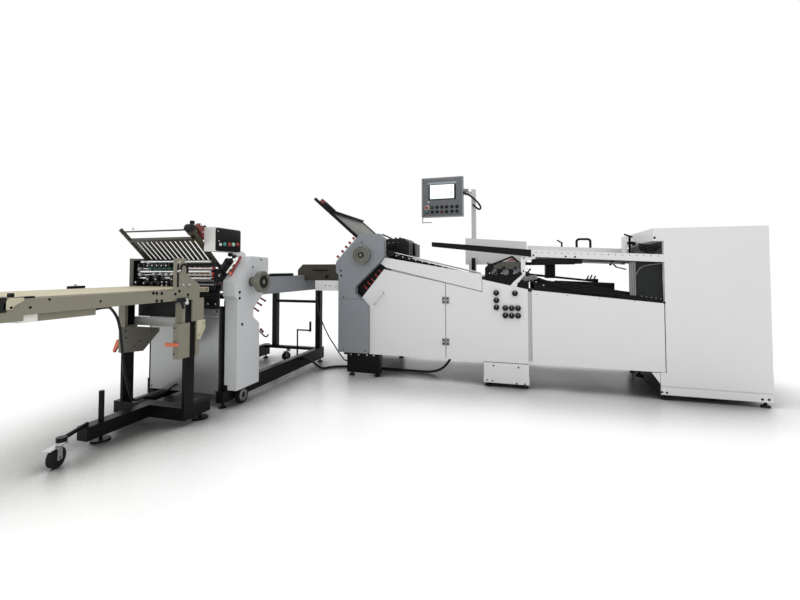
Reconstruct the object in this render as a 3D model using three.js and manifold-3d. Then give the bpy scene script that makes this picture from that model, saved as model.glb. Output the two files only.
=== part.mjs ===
// Combination paper folding machine: round feeder, inclined register table, first
// buckle fold unit, cross carrier, mobile second fold unit and delivery conveyor.
// Millimetres, +Z up, +X towards the feeder, +Y away from the operator.
import * as THREE from 'three';
import { mergeVertices } from 'three/addons/utils/BufferGeometryUtils.js';
import Module from 'manifold-3d';

const wasm = await Module();
wasm.setup();

// Gaps that every piece shares
const seatGap = 0.3;
const runGap = 1.5;
const panelGap = 3;
const overrun = 6;

// Body of the main machine, between the first fold unit and the feeder cabinet
const body = {
  depth: 1000,
  bottom: 222,
  doorWidth: 758,
  middleWidth: 729,
  recessWidth: 33,
  rightWidth: 1016,
  panelDepth: 25,
  panelWall: 2.5,
};

// Steel side plates and cross tubes of the main machine
const frame = {
  setback: body.panelDepth + seatGap,
  plate: 15,
  bottom: 240,
  height: 890,
  tube: 60,
};
const frameOutlineShares = [
  [0, 0], [1, 0], [1, 0.593], [0.6, 0.688], [0.427, 0.795], [0.427, 0.831], [0.084, 1], [0.084, 0.876],
    [0, 0.472],
];
const doorwayShares = [[0.0325, 0.079], [0.278, 0.079], [0.278, 0.73], [0.112, 0.837]];
const frameTubeShares = [0.012, 0.29, 0.68, 0.96];

// First fold unit: side covers, plates, rollers
const unit1 = {
  columnWidth: 312,
  overhang: 27,
  width: 505,
  bottom: 235,
  height: 1170,
  proud: 50,
  coverWall: 3,
  tieRadius: 12,
  rollerDiameter: 64,
  rollerGap: 0.6,
  driveX: 258,
  driveHeight: 1196,
  barrelInset: 14,
  journalRadius: 12,
  gearWidth: 16,
  gearAddendum: 2.4,
  gearDedendum: 3.4,
  handwheelDiameter: 178,
  handwheelStandoff: 20,
  handwheelWidth: 40,
  hubRadius: 26,
};
const cover1OutlineShares = [
  [0.053, 0], [0.671, 0], [0.671, 0.389], [0.41, 0.5], [0.41, 0.5556], [0.895, 0.7547], [1, 0.8145],
  [1, 0.9632], [0.909, 1], [0.501, 1], [0, 0.7667], [0, 0.6795], [0.053, 0.6538],
];
const plate1OutlineShares = [
  [0.069, 0], [0.657, 0], [0.657, 0.397], [0.505, 0.464], [0.968, 0.697], [0.984, 0.816],
  [0.984, 0.957], [0.905, 0.993], [0.513, 0.993], [0.016, 0.763], [0.016, 0.684], [0.069, 0.657],
];
const tie1Shares = [[0.16, 0.08], [0.55, 0.08], [0.16, 0.6], [0.6, 0.95], [0.16, 0.34], [0.55, 0.34]];
const gearTeeth = 16;

// Buckle plates of the first fold unit: slope in degrees, lengths along the slope
const buckle1 = {
  slope: 41,
  mouthRise: 104,
  mouthReach: 4,
  length: 766,
  farLength: 560,
  railHeight: 30,
  railThickness: 13,
  sheetThickness: 8,
  sheetLength: 500,
  rodRadius: 7,
  rodAt: 545,
  lowerSlope: 45,
  lowerStartX: 320,
  lowerStartHeight: 1140,
  lowerLength: 620,
};
const buckleStop = {
  at: 515,
  width: 14,
  height: 20,
  carriageLength: 185,
  carriageHeight: 34,
  carriageWidth: 44,
};

// Red adjusting knobs on the slope, red levers in the slot, black valve knobs on the panel
const slopeKnob = { radius: 11, length: 42, stemRadius: 5, stemLength: 16, setback: 30 };
const slopeKnobShares = [0.118, 0.316, 0.474, 0.624, 0.787];
const slotLever = { width: 9, length: 52, thickness: 12 };
const slotLeverShares = [[0.57, 0.553], [0.635, 0.588], [0.713, 0.618], [0.79, 0.656], [0.867, 0.688]];
const valveKnob = { radius: 24, depth: 26 };
const valveKnobShares = [
  [0.627, 0.838], [0.628, 0.748], [0.628, 0.661], [0.849, 0.835], [0.734, 0.657], [0.809, 0.657],
  [0.883, 0.659], [0.734, 0.568], [0.808, 0.567], [0.883, 0.57],
];

// Service door with its handle and hinges
const door = {
  thickness: 25, left: 232, top: 1057, handleRadius: 8, handleStandoff: 32,
};
const doorOutlineShares = [[0.0986, 0], [1, 0], [1, 0.843], [0.279, 1], [0, 0.66], [0.0986, 0.563]];
const handleShares = [[0.16, 0.594], [0.271, 0.723]];
const hinge = { leaf: 60, thickness: 3, pinRadius: 5, lower: 380, upper: 767 };

// Panels of the body
const middlePanelTop = 963;
const middlePanelShares = [[0, 0], [1, 0], [1, 0.885], [0.457, 1], [0.457, 0.845], [0, 0.951]];
const rightPanelTop = 871;
const rightPanelShares = [[0, 0], [1, 0], [1, 0.858], [0, 1]];

// Inclined register table and the white cover along its operator side
const register = { coverLeft: 430, coverWidth: 973, coverBottom: 856, coverHeight: 316, coverDepth: 30 };
const registerCoverShares = [[0, 0.8165], [0.0432, 1], [1, 0.487], [1, 0], [0.0627, 0.6835]];
const table = { thickness: 6, frontReach: 30, rearInset: 40, railWidth: 26, railHeight: 22,
  railSetback: 75 };

// Foot boxes and levelling feet
const footBox = {
  left: 73, width: 345, depth: 76, front: 10, bottom: 30, top: 219, flange: 36, flangeThickness: 16,
};
const centreBox = { left: 1416, width: 388, bottom: 36, top: 215, lip: 91, lipProud: 3 };
const foot = { radius: 30, thickness: 12, stemRadius: 10, inset: 38, boxWall: 5 };

// Feeder cabinet with the deflection drum
const cabinet = {
  gap: 7, width: 703, bottom: 43, plinthHeight: 62, plinthReach: 43, seam: 8, seamInset: 6, top: 1392,
  wall: 3,
  hoodReach: 78, hoodHeight: 104, mouthBottom: 784, mouthTop: 1285, mouthInset: 40,
};
const drum = {
  radius: 195, shaftRadius: 20, reach: 252, height: 985, inset: 60, bossRadius: 45, bossLength: 40,
  fitGap: 0.6, wall: 5, web: 12,
};

// Upper feed table, its arm, its bracket, and the guard behind it
const upperTable = {
  leftTop: 1230, rightTop: 1177, beamHeight: 62, beamDepth: 35, deckDrop: 8, deckThickness: 5,
  deckReach: 47, deckInset: 60, fenceLeft: 1321, fenceRight: 1268, fenceDepth: 40,
};
const upperBracket = { footLeft: 147, width: 215, depth: 14, setback: 8, bottom: 905, height: 280 };
const bracketShares = [
  [0.28, 0.1], [0.6, 0.29], [0.6, 0.8], [1, 0.88], [1, 1], [0.85, 1], [0.85, 0.93], [0.42, 0.93],
  [0.42, 0.34], [0.1, 0.12],
];
const arm = { length: 895, leftTop: 1316, leftHeight: 44, depth: 35 };
const guard = {
  left: 1150, right: 1825, bottom: 1112, leftTop: 1420, rightTop: 1366, depth: 12, inset: 40,
  legWidth: 28,
};
const guardLegs = [1190, 1398];

// Lower feed table between the cabinet and the suction head
const lowerTable = {
  left: 1856, leftDrop: 180, rightDrop: 330, thickness: 12, inset: 50, flange: 10, flangeSetback: 30,
  railWidth: 20, railHeight: 24, railSetback: 90,
};

// Suction head with its roller and drive motor
const head = {
  left: 1430, right: 1812, topDrop: 20, shoulderDrop: 120, plate: 12, setback: 28, beam: 40,
  housingWidth: 220, housingHeight: 140, housingLength: 400, rollerX: 1790, rollerDrop: 145,
  rollerRadius: 50, journalRadius: 12,
  boreGap: 0.6, barHeight: 30, barWidth: 40, motorWidth: 92, motorDepth: 100, motorHeight: 170,
    motorReach: 290,
};

// Black infeed head between the register table and the first fold unit
const infeed = {
  left: 490, boxWidth: 165, beamWidth: 60, beamHeight: 40, bottom: 1200, boxHeight: 135, boxInset: 250,
  plate: 12, plateBottom: 1150, plateReach: 60,
};

// Control panel on its pole
const pole = { left: 1220, width: 50, bottom: 400, top: 1990, armLength: 55, armHeight: 60,
  knuckleRadius: 22 };
const panel = {
  right: 1135, width: 490, bottom: 1672, height: 465, depth: 60, forward: 75, lugHeight: 40,
  stopRadius: 20, stopDepth: 24, wall: 3, stopShareX: 0.13, stopShareZ: 0.24, stopStem: 8, hookDrop: 60,
    hookReach: 110,
  hookRadius: 5,
};
const loop = { radius: 8, reach: 60, drop: 120 };

// Second fold unit: distances from the left edge and front face of the main machine
const unit2 = {
  coverRight: -350, coverThickness: 110, coverWall: 3, coverFront: -1180, coverBottom: 128, coverWidth: 434,
  coverHeight: 1033, plate: 18, innerWidth: 708, driveY: -975, driveDrop: 206, rollerDiameter: 56,
  barrelInset: 16, handwheelDiameter: 172, handwheelStandoff: 75, handwheelWidth: 40, slitterY: -1220,
  slitterDrop: 151, discRadius: 38, discThickness: 8, shaftRadius: 14, noseReach: 160, noseBottomDrop: 256,
  noseTopDrop: 21, bearingReach: 50, ledgeHeight: 30, ledgeFront: -900, ledgeReach: 40,
};
const cover2OutlineShares = [
  [0.07, 0], [0.728, 0], [0.728, 0.466], [0.535, 0.525], [0.535, 0.592], [0.797, 0.683], [1, 0.884],
  [1, 0.995], [0.482, 1], [0, 0.81], [0, 0.699], [0.07, 0.67],
];
const plate2OutlineShares = [
  [0.09, 0.03], [0.71, 0.03], [0.71, 0.46], [0.52, 0.52], [0.52, 0.6], [0.78, 0.69], [0.98, 0.89],
  [0.98, 0.985], [0.49, 0.985], [0.13, 0.845], [0.13, 0.69], [0.09, 0.66],
];
const tie2Shares = [[0.27, 0.1], [0.62, 0.1], [0.27, 0.6], [0.62, 0.4], [0.9, 0.93]];
const discShares = [0.12, 0.27, 0.42, 0.58, 0.73, 0.88];
const lowerPanel = { front: -1180, bottom: 95, top: 750, thickness: 2.5, lipDepth: 90, topDepth: 35 };

// Upper buckle plate of the second fold unit
const buckle2 = {
  slope: 42.5, startY: -1085, startRise: 72, length: 490, railHeight: 26, railThickness: 14, slats: 14,
  slatFrom: 130, slatWidth: 26, slatThickness: 8, crossAt: 365, crossHeight: 20, rodRadius: 6,
    blockLength: 70,
  blockHeight: 35, blockDepth: 60,
};

// Control box over the second fold unit, and its brace
const box2 = {
  left: -520, right: -420, front: -1318, depth: 286, seatRise: 42, height: 180,
  braceWidth: 60, braceRise: 40, wall: 4, entryRadius: 12,
};

// Base frame of the second fold unit
const base2 = {
  right: -430, left: -1208, tube: 60, bottom: 42, rightFront: -1203, frontTop: 124, rearTop: 165,
  stepY: -1150, rear: 515,
  legY: 410, leftLeg: -1052, innerLeft: -1045, midY: -860, rungHeight: 30, upperRung: 672, crossTube: 30,
  glandY: 10, glandHeight: 130, glandRadius: 18, glandLength: 20,
};
const stand = {
  front: -1578, depth: 90, left: -1045, postWidth: 22, postDepth: 85, leftPost: -992, rightPost: -456,
  postFront: -1575, stubEnd: -1335, stubFoot: 65,
  postTop: 828, armLeft: -805, armWidth: 80, armEnd: -2005, spindleX: -770, spindleY: -1885,
  spindleRadius: 15.5, spindleHeight: 180, padRadius: 55, rodRadius: 12, rodStart: -1975, rodSink: 3,
  headX: -675, headY: -2180, headRadius: 26,
};
const caster = {
  wheelRadius: 52, wheelWidth: 32, trail: 37, heading: -70, forkWall: 4, neckRadius: 24,
  clearance: 1.2, axleRadius: 6, axleGap: 0.6, pedalLength: 62, pedalWidth: 46, pedalThickness: 5,
};
const rearCaster = { x: -850, y: 440, wheelRadius: 50, wheelWidth: 28, trail: 30, heading: -115 };
const transport = { radius: 60, width: 34, axleRadius: 9, clearance: 1.2, wheelY: -1018, gap: 12,
  hubRadius: 18 };
const crank = { x: -733, armLength: 165, radius: 9, top: 354, gripRadius: 13, gripTop: 456 };

// Cross carrier between the two fold units
const carrier = {
  right: -430, width: 760, front: -740, rear: 760, bottom: 835, top: 993, wall: 6, flange: 26, deckDrop: 10,
  deckThickness: 6, ribs: 5, ribHeight: 40, ribWidth: 20, tieDepth: 40,
};
const bridge = {
  left: -508, right: 15, bottom: 943, top: 1109, thickness: 8, rollerRadius: 15, noseDrop: 0.35, rollers: 3,
};
const dock = { left: -264, front: -35, depth: 95, bottom: 841 };

// Delivery conveyor
const conveyor = {
  right: -420, railThickness: 30, width: 770, near: -2540, far: -1467, leftFar: -1354, railBottom: 849,
  railHeight: 72, bedBottom: 895, bedInset: 60, beltTop: 925, beltThickness: 3, beltInset: 20,
  beltFar: -1320, crossWidth: 40, panBottom: 812, panWidth: 90, panFar: -2186,
  driveLength: 200, driveTop: 930, driveBottom: 822, driveWall: 4, plateThickness: 12,
};
const conveyorPlateShares = [[0, 0], [0, 1], [0.44, 1], [0.49, 0.6], [1, 0.36], [1, 0]];
const conveyorPlate = { front: -1688, height: 278, skirtFront: -1530, skirtRear: -1424, skirtBottom: 700 };
const sleeve = {
  gap: 2, wall: 14, cheek: 6, rearReach: 35, slotDepth: 55, rightBottom: 463, rightTop: 694,
  rightFront: -1640, leftBottom: 465, leftTop: 656,
  bracketWidth: 60, bracketDepth: 45,
};
const gusset = { left: -986, width: 342, bottom: 465, height: 191, thickness: 9 };
const gussetShares = [[0, 1], [1, 1], [1, 0.885], [0.594, 0.136], [0.032, 0]];
const crossbar = { bottom: 650, height: 62, depth: 12 };
const clampLever = { height: 560, x: -432, length: 86, width: 22, thickness: 14, pinRadius: 8,
  pinLength: 14 };
const leftLever = { height: 545, length: 65 };

// Cables: radius and route points chosen by hand
const dockCable = { radius: 6, steps: 42, sides: 8 };
const dockCablePoints = [
  [-250, -25, 840.7], [-250, -25, 800], [-249, -24, 750], [-245, -20, 680], [-239, -15, 640], [-230, -10,
    600],
  [-218, -3, 560], [-205, 5, 520], [-190, 14, 480], [-175, 22, 440], [-158, 31, 400], [-140, 40, 360],
  [-120, 48, 324], [-98, 55, 290], [-76, 59, 256], [-53, 61, 222], [-29, 61, 190], [-3, 60, 162],
  [20, 59, 138],
  [40, 58, 130.6], [56, 58, 130], [72.7, 58, 130],
];
const machineCable = { radius: 12, steps: 46, sides: 8 };
const machineCablePoints = [
  [-409.7, 10, 130], [-380, 10, 130], [-350, 13, 123], [-320, 22, 106], [-296, 36, 82], [-278, 56, 56],
  [-264, 84, 34], [-252, 116, 20], [-238, 152, 13.6], [-218, 190, 12.8], [-187, 226, 12.8], [-143, 258,
    12.8],
  [-88, 281, 12.8], [-20, 295, 12.8], [70, 304, 12.8], [190, 312, 12.8], [328, 318, 12.8], [440, 318, 12.8],
  [538, 316, 12.8], [640, 312, 12.8], [740, 308, 12.8], [820, 305, 13.6], [890, 303, 22], [950, 302, 42],
  [1000, 301, 74], [1038, 300.5, 116], [1064, 300, 158], [1077, 300, 192], [1080, 300, 218], [1080, 300,
    229], [1080, 300, 239.7],
];
const conveyorCable = { radius: 8, steps: 52, sides: 8 };
const conveyorCablePoints = [
  [-500, -2185.7, 841], [-500, -2155, 841], [-508, -2115, 840], [-530, -2070, 838], [-565, -2020, 834],
  [-605, -1975, 825], [-645, -1931, 808], [-677, -1885, 779], [-701, -1845, 736], [-720, -1814, 674],
  [-736, -1791, 600], [-749, -1770, 530], [-760, -1754, 464], [-776, -1729, 396], [-796, -1698, 330],
  [-817, -1666, 276], [-838, -1634, 220], [-854, -1608, 176], [-864, -1580, 147], [-869, -1548, 135],
  [-872, -1510, 135], [-874, -1470, 134], [-876, -1420, 121], [-877, -1360, 117], [-878, -1300, 120],
  [-879, -1250, 130], [-880, -1215, 142], [-880, -1197, 145], [-880, -1180.3, 145],
];

// Places worked out from the sizes above
const doorLeftEdge = unit1.columnWidth;
const hingeX = doorLeftEdge + body.doorWidth;
const middleLeft = hingeX + panelGap;
const rightLeft = middleLeft + body.middleWidth + body.recessWidth;
const bodyRight = rightLeft + body.rightWidth;
const cabinetLeft = bodyRight + cabinet.gap;
const cabinetRight = cabinetLeft + cabinet.width;
const frameLeft = unit1.columnWidth + 2 * panelGap;
const frameWidth = bodyRight - frameLeft - 2 * panelGap - seatGap;
const frameRearOuter = body.depth - frame.setback;
const frameRearInner = frameRearOuter - frame.plate;
const frameInner = frame.setback + frame.plate;
const frameTop = frame.bottom + frame.height;

// Shape makers
const toSolid = (geometry) => {
  const bare = geometry.index ? geometry.toNonIndexed() : geometry.clone();
  bare.deleteAttribute('normal');
  bare.deleteAttribute('uv');
  const merged = mergeVertices(bare, 1e-4);
  return new wasm.Manifold(new wasm.Mesh({
    numProp: 3,
    vertProperties: new Float32Array(merged.attributes.position.array),
    triVerts: new Uint32Array(merged.index.array),
  }));
};
const join = (...solids) => solids.reduce((whole, solid) => whole.add(solid));
const cut = (whole, ...tools) => tools.reduce((rest, tool) => rest.subtract(tool), whole);
const toGeometry = (solid) => {
  const mesh = solid.getMesh();
  const geometry = new THREE.BufferGeometry();
  geometry.setAttribute('position', new THREE.BufferAttribute(new Float32Array(mesh.vertProperties), 3));
  geometry.setIndex(new THREE.BufferAttribute(new Uint32Array(mesh.triVerts), 1));
  geometry.computeVertexNormals();
  return geometry;
};
const box = (x0, x1, y0, y1, z0, z1) => {
  const geometry = new THREE.BoxGeometry(x1 - x0, y1 - y0, z1 - z0);
  geometry.translate((x0 + x1) / 2, (y0 + y1) / 2, (z0 + z1) / 2);
  return toSolid(geometry);
};
const shapeOf = (points) => new THREE.Shape(points.map(([a, b]) => new THREE.Vector2(a, b)));
const extruded = (points, depth) => new THREE.ExtrudeGeometry(shapeOf(points), {
  depth, bevelEnabled: false, steps: 1, curveSegments: 1,
});
const axisBasis = {
  x: new THREE.Matrix4().makeBasis(
    new THREE.Vector3(0, 1, 0), new THREE.Vector3(0, 0, 1), new THREE.Vector3(1, 0, 0)),
  y: new THREE.Matrix4().makeBasis(
    new THREE.Vector3(1, 0, 0), new THREE.Vector3(0, 0, 1), new THREE.Vector3(0, -1, 0)),
  z: new THREE.Matrix4(),
};
const prism = (axis, points, from, to) => {
  const geometry = extruded(points, to - from);
  if (axis === 'y') geometry.translate(0, 0, -to);
  else geometry.translate(0, 0, from);
  geometry.applyMatrix4(axisBasis[axis]);
  return toSolid(geometry);
};
const rod = (from, to, radius, sides = 12) => {
  const a = new THREE.Vector3(...from);
  const b = new THREE.Vector3(...to);
  const geometry = new THREE.CylinderGeometry(radius, radius, a.distanceTo(b), sides);
  const turn = new THREE.Quaternion().setFromUnitVectors(
    new THREE.Vector3(0, 1, 0), b.clone().sub(a).normalize());
  geometry.applyQuaternion(turn);
  geometry.translate(...a.add(b).multiplyScalar(0.5).toArray());
  return toSolid(geometry);
};
const atShares = (shares, left, bottom, width, height) => shares.map(
  ([a, b]) => [left + a * width, bottom + b * height]);
const insetOutline = (points, distance) => {
  const area = points.reduce((sum, [x, y], i) => {
    const [nx, ny] = points[(i + 1) % points.length];
    return sum + x * ny - nx * y;
  }, 0);
  const side = Math.sign(area);
  const edges = points.map(([x, y], i) => {
    const [nx, ny] = points[(i + 1) % points.length];
    const length = Math.hypot(nx - x, ny - y);
    const dx = (nx - x) / length;
    const dy = (ny - y) / length;
    return { x: x - side * dy * distance, y: y + side * dx * distance, dx, dy };
  });
  return edges.map((edge, i) => {
    const before = edges[(i + edges.length - 1) % edges.length];
    const cross = before.dx * edge.dy - before.dy * edge.dx;
    const t = ((edge.x - before.x) * edge.dy - (edge.y - before.y) * edge.dx) / cross;
    return [before.x + t * before.dx, before.y + t * before.dy];
  });
};
const heightOn = ([x0, z0], [x1, z1], x) => z0 + (z1 - z0) * (x - x0) / (x1 - x0);

// Finishes
const finish = (color, roughness, metalness) => new THREE.MeshStandardMaterial({ color, roughness,
  metalness });
const finishes = {
  white: finish(0xf1f1ef, 0.45, 0),
  grey: finish(0x7d8287, 0.5, 0),
  lightGrey: finish(0xc4c6c8, 0.45, 0),
  black: finish(0x222423, 0.5, 0),
  blackPlastic: finish(0x161616, 0.4, 0),
  olive: finish(0x8f8b78, 0.5, 0),
  darkOlive: finish(0x5b5a4e, 0.55, 0),
  steel: finish(0xb9bbbd, 0.3, 1),
  sheetMetal: finish(0x8d8f90, 0.4, 1),
  redPlastic: finish(0xb04a48, 0.45, 0),
  orange: finish(0xe06a3c, 0.45, 0),
  rubber: finish(0x2b2b2b, 0.8, 0),
  belt: finish(0xcfc5a0, 0.7, 0),
  cable: finish(0x1d1f22, 0.6, 0),
  wheelHub: finish(0x8c8c86, 0.5, 0.2),
};

const machine = new THREE.Group();
const add = (name, solid, material) => {
  const mesh = new THREE.Mesh(toGeometry(solid), finishes[material].clone());
  mesh.name = name;
  machine.add(mesh);
  return mesh;
};

// Folded sheet-metal pan: an outline in X and Z with walls, open at the back
const pan = (outline, front, depth, wall) => cut(
  prism('y', outline, front, front + depth),
  prism('y', insetOutline(outline, wall), front + wall, front + depth + overrun));

// Main frame: two side plates, a doorway in the front one, cross tubes between them
const frameOutline = atShares(frameOutlineShares, frameLeft, frame.bottom, frameWidth, frame.height);
const frameTopAt = (x) => {
  const tops = frameOutline.slice(2, 8).reverse();
  const i = tops.findIndex(([px]) => px > x);
  return heightOn(tops[i - 1], tops[i], x);
};
const addMainFrame = () => {
  const front = cut(
    prism('y', frameOutline, frame.setback, frameInner),
    prism('y', atShares(doorwayShares, frameLeft, frame.bottom, frameWidth, frame.height), 0,
      frameInner + overrun));
  const rear = prism('y', frameOutline, frameRearInner, frameRearOuter);
  const tubes = frameTubeShares.map((share) => {
    const x = frameLeft + share * frameWidth;
    return box(x, x + frame.tube, frameInner - overrun, frameRearInner + overrun, frame.bottom,
      frame.bottom + frame.tube);
  });
  add('main_frame', join(front, rear, ...tubes), 'lightGrey');
};

// Panels on the operator side, with the valve knobs and the hinge leaves on the middle one
const middlePanelOutline = atShares(
  middlePanelShares, middleLeft, body.bottom, body.middleWidth, middlePanelTop - body.bottom);
const hingeAxisY = -hinge.pinRadius - seatGap;
const addPanels = () => {
  const valves = atShares(valveKnobShares, middleLeft, body.bottom, body.middleWidth,
    middlePanelTop - body.bottom).map(([x, z]) => rod(
    [x, -valveKnob.depth, z], [x, body.panelWall / 2, z], valveKnob.radius, 12));
  const hinges = [hinge.lower, hinge.upper].map((height) => join(
    box(middleLeft, middleLeft + hinge.leaf / 2, -hinge.thickness, body.panelWall / 2,
      height - hinge.leaf / 2,
      height + hinge.leaf / 2),
    box(hingeX, middleLeft + hinge.leaf / 2, hingeAxisY, -seatGap, height - hinge.leaf / 2,
      height + hinge.leaf / 2),
    rod([hingeX, hingeAxisY, height - hinge.leaf / 2], [hingeX, hingeAxisY, height + hinge.leaf / 2],
      hinge.pinRadius, 8)));
  add('body_panel_middle', join(
    pan(middlePanelOutline, 0, body.panelDepth, body.panelWall), ...valves, ...hinges), 'white');
  const rightOutline = atShares(
    rightPanelShares, rightLeft, body.bottom, body.rightWidth, rightPanelTop - body.bottom);
  add('body_panel_right', pan(rightOutline, 0, body.panelDepth, body.panelWall), 'white');
  const coverOutline = atShares(
    registerCoverShares, register.coverLeft, register.coverBottom, register.coverWidth,
      register.coverHeight);
  const front = body.panelDepth - register.coverDepth;
  add('register_cover', pan(coverOutline, front, register.coverDepth, body.panelWall), 'white');
};

// Service door and its bar handle
const addDoor = () => {
  const width = hingeX - panelGap - door.left;
  const height = door.top - body.bottom;
  const outline = atShares(doorOutlineShares, door.left, body.bottom, width, height);
  add('service_door', pan(outline, 0, door.thickness, body.panelWall), 'white');
  const [low, high] = atShares(handleShares, door.left, body.bottom, width, height);
  const y = -door.handleStandoff;
  add('door_handle', join(
    rod([low[0], y, low[1]], [high[0], y, high[1]], door.handleRadius, 10),
    rod([low[0], y, low[1]], [low[0], -seatGap, low[1]], door.handleRadius, 10),
    rod([high[0], y, high[1]], [high[0], -seatGap, high[1]], door.handleRadius, 10)), 'steel');
};

// Inclined register table with its guide rail, resting on the side plates
const addRegisterTable = () => {
  const [right, left] = [frameOutline[5], frameOutline[6]];
  const slab = (low, high) => [
    [left[0], left[1] + low], [right[0], right[1] + low], [right[0], right[1] + high], [left[0],
      left[1] + high]];
  add('register_table', join(
    prism('y', slab(seatGap, seatGap + table.thickness), table.frontReach,
      body.depth - table.rearInset),
    prism('y', slab(seatGap + table.thickness / 2, seatGap + table.thickness + table.railHeight),
      table.railSetback, table.railSetback + table.railWidth)), 'sheetMetal');
};

// A levelling foot: disc on the floor and a stem up into the piece above
const levellingFoot = (x, y, bottom, radius = foot.radius) => join(
  rod([x, y, 0], [x, y, foot.thickness], radius, 12),
  rod([x, y, foot.thickness / 2], [x, y, bottom + overrun], foot.stemRadius, 8));

// A hollow open at the bottom that leaves four corner blocks for the feet
const hollowUnder = (x0, x1, y0, y1, z0, z1) => join(
  box(x0 + foot.boxWall, x1 - foot.boxWall, y0 + 2 * foot.inset, y1 - 2 * foot.inset, z0 - overrun,
    z1 - foot.boxWall),
  box(x0 + 2 * foot.inset, x1 - 2 * foot.inset, y0 + foot.boxWall, y1 - foot.boxWall, z0 - overrun,
    z1 - foot.boxWall));

// Foot boxes: black ones under the fold unit, a white one under the middle
const addFootBoxes = () => {
  const right = footBox.left + footBox.width;
  const flangeLeft = footBox.left - footBox.flange;
  const black = (name, front) => {
    const rear = front + footBox.depth;
    const riserFront = Math.max(front, frame.setback);
    add(name, join(
      cut(box(footBox.left, right, front, rear, footBox.bottom, footBox.top),
        box(footBox.left + 2 * foot.inset, right - 2 * foot.inset, front + foot.boxWall,
          rear - foot.boxWall, footBox.bottom - overrun, footBox.top - foot.boxWall)),
      box(flangeLeft, right, front, rear, footBox.top - footBox.flangeThickness, footBox.top),
      box(flangeLeft, unit1.columnWidth - overrun, riserFront, rear, footBox.top - overrun,
        unit1.bottom - seatGap),
      box(frameLeft, right, riserFront, rear, footBox.top - overrun, frame.bottom - seatGap),
      levellingFoot(footBox.left + foot.inset, front + foot.inset, footBox.bottom),
      levellingFoot(right - foot.inset, front + foot.inset, footBox.bottom)), 'black');
  };
  black('front_foot_box', footBox.front);
  black('rear_foot_box', body.depth - footBox.front - footBox.depth);
  const centreRight = centreBox.left + centreBox.width;
  const rear = frameRearOuter;
  const feet = [
    [centreBox.left + foot.inset, foot.inset], [centreRight - foot.inset, foot.inset],
    [centreBox.left + foot.inset, rear - foot.inset], [centreRight - foot.inset, rear - foot.inset],
  ].map(([x, y]) => levellingFoot(x, y, centreBox.bottom));
  const lip = centreBox.lipProud;
  add('centre_foot_box', join(
    cut(join(
      box(centreBox.left, centreRight, 0, rear, centreBox.lip - overrun, centreBox.top),
      box(centreBox.left - lip, centreRight + lip, -lip, rear, centreBox.bottom, centreBox.lip)),
    hollowUnder(centreBox.left, centreRight, 0, rear, centreBox.bottom, centreBox.top)),
    box(centreBox.left, centreRight, frame.setback, rear, centreBox.top - foot.boxWall / 2,
      frame.bottom - seatGap), ...feet), 'white');
};

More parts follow.
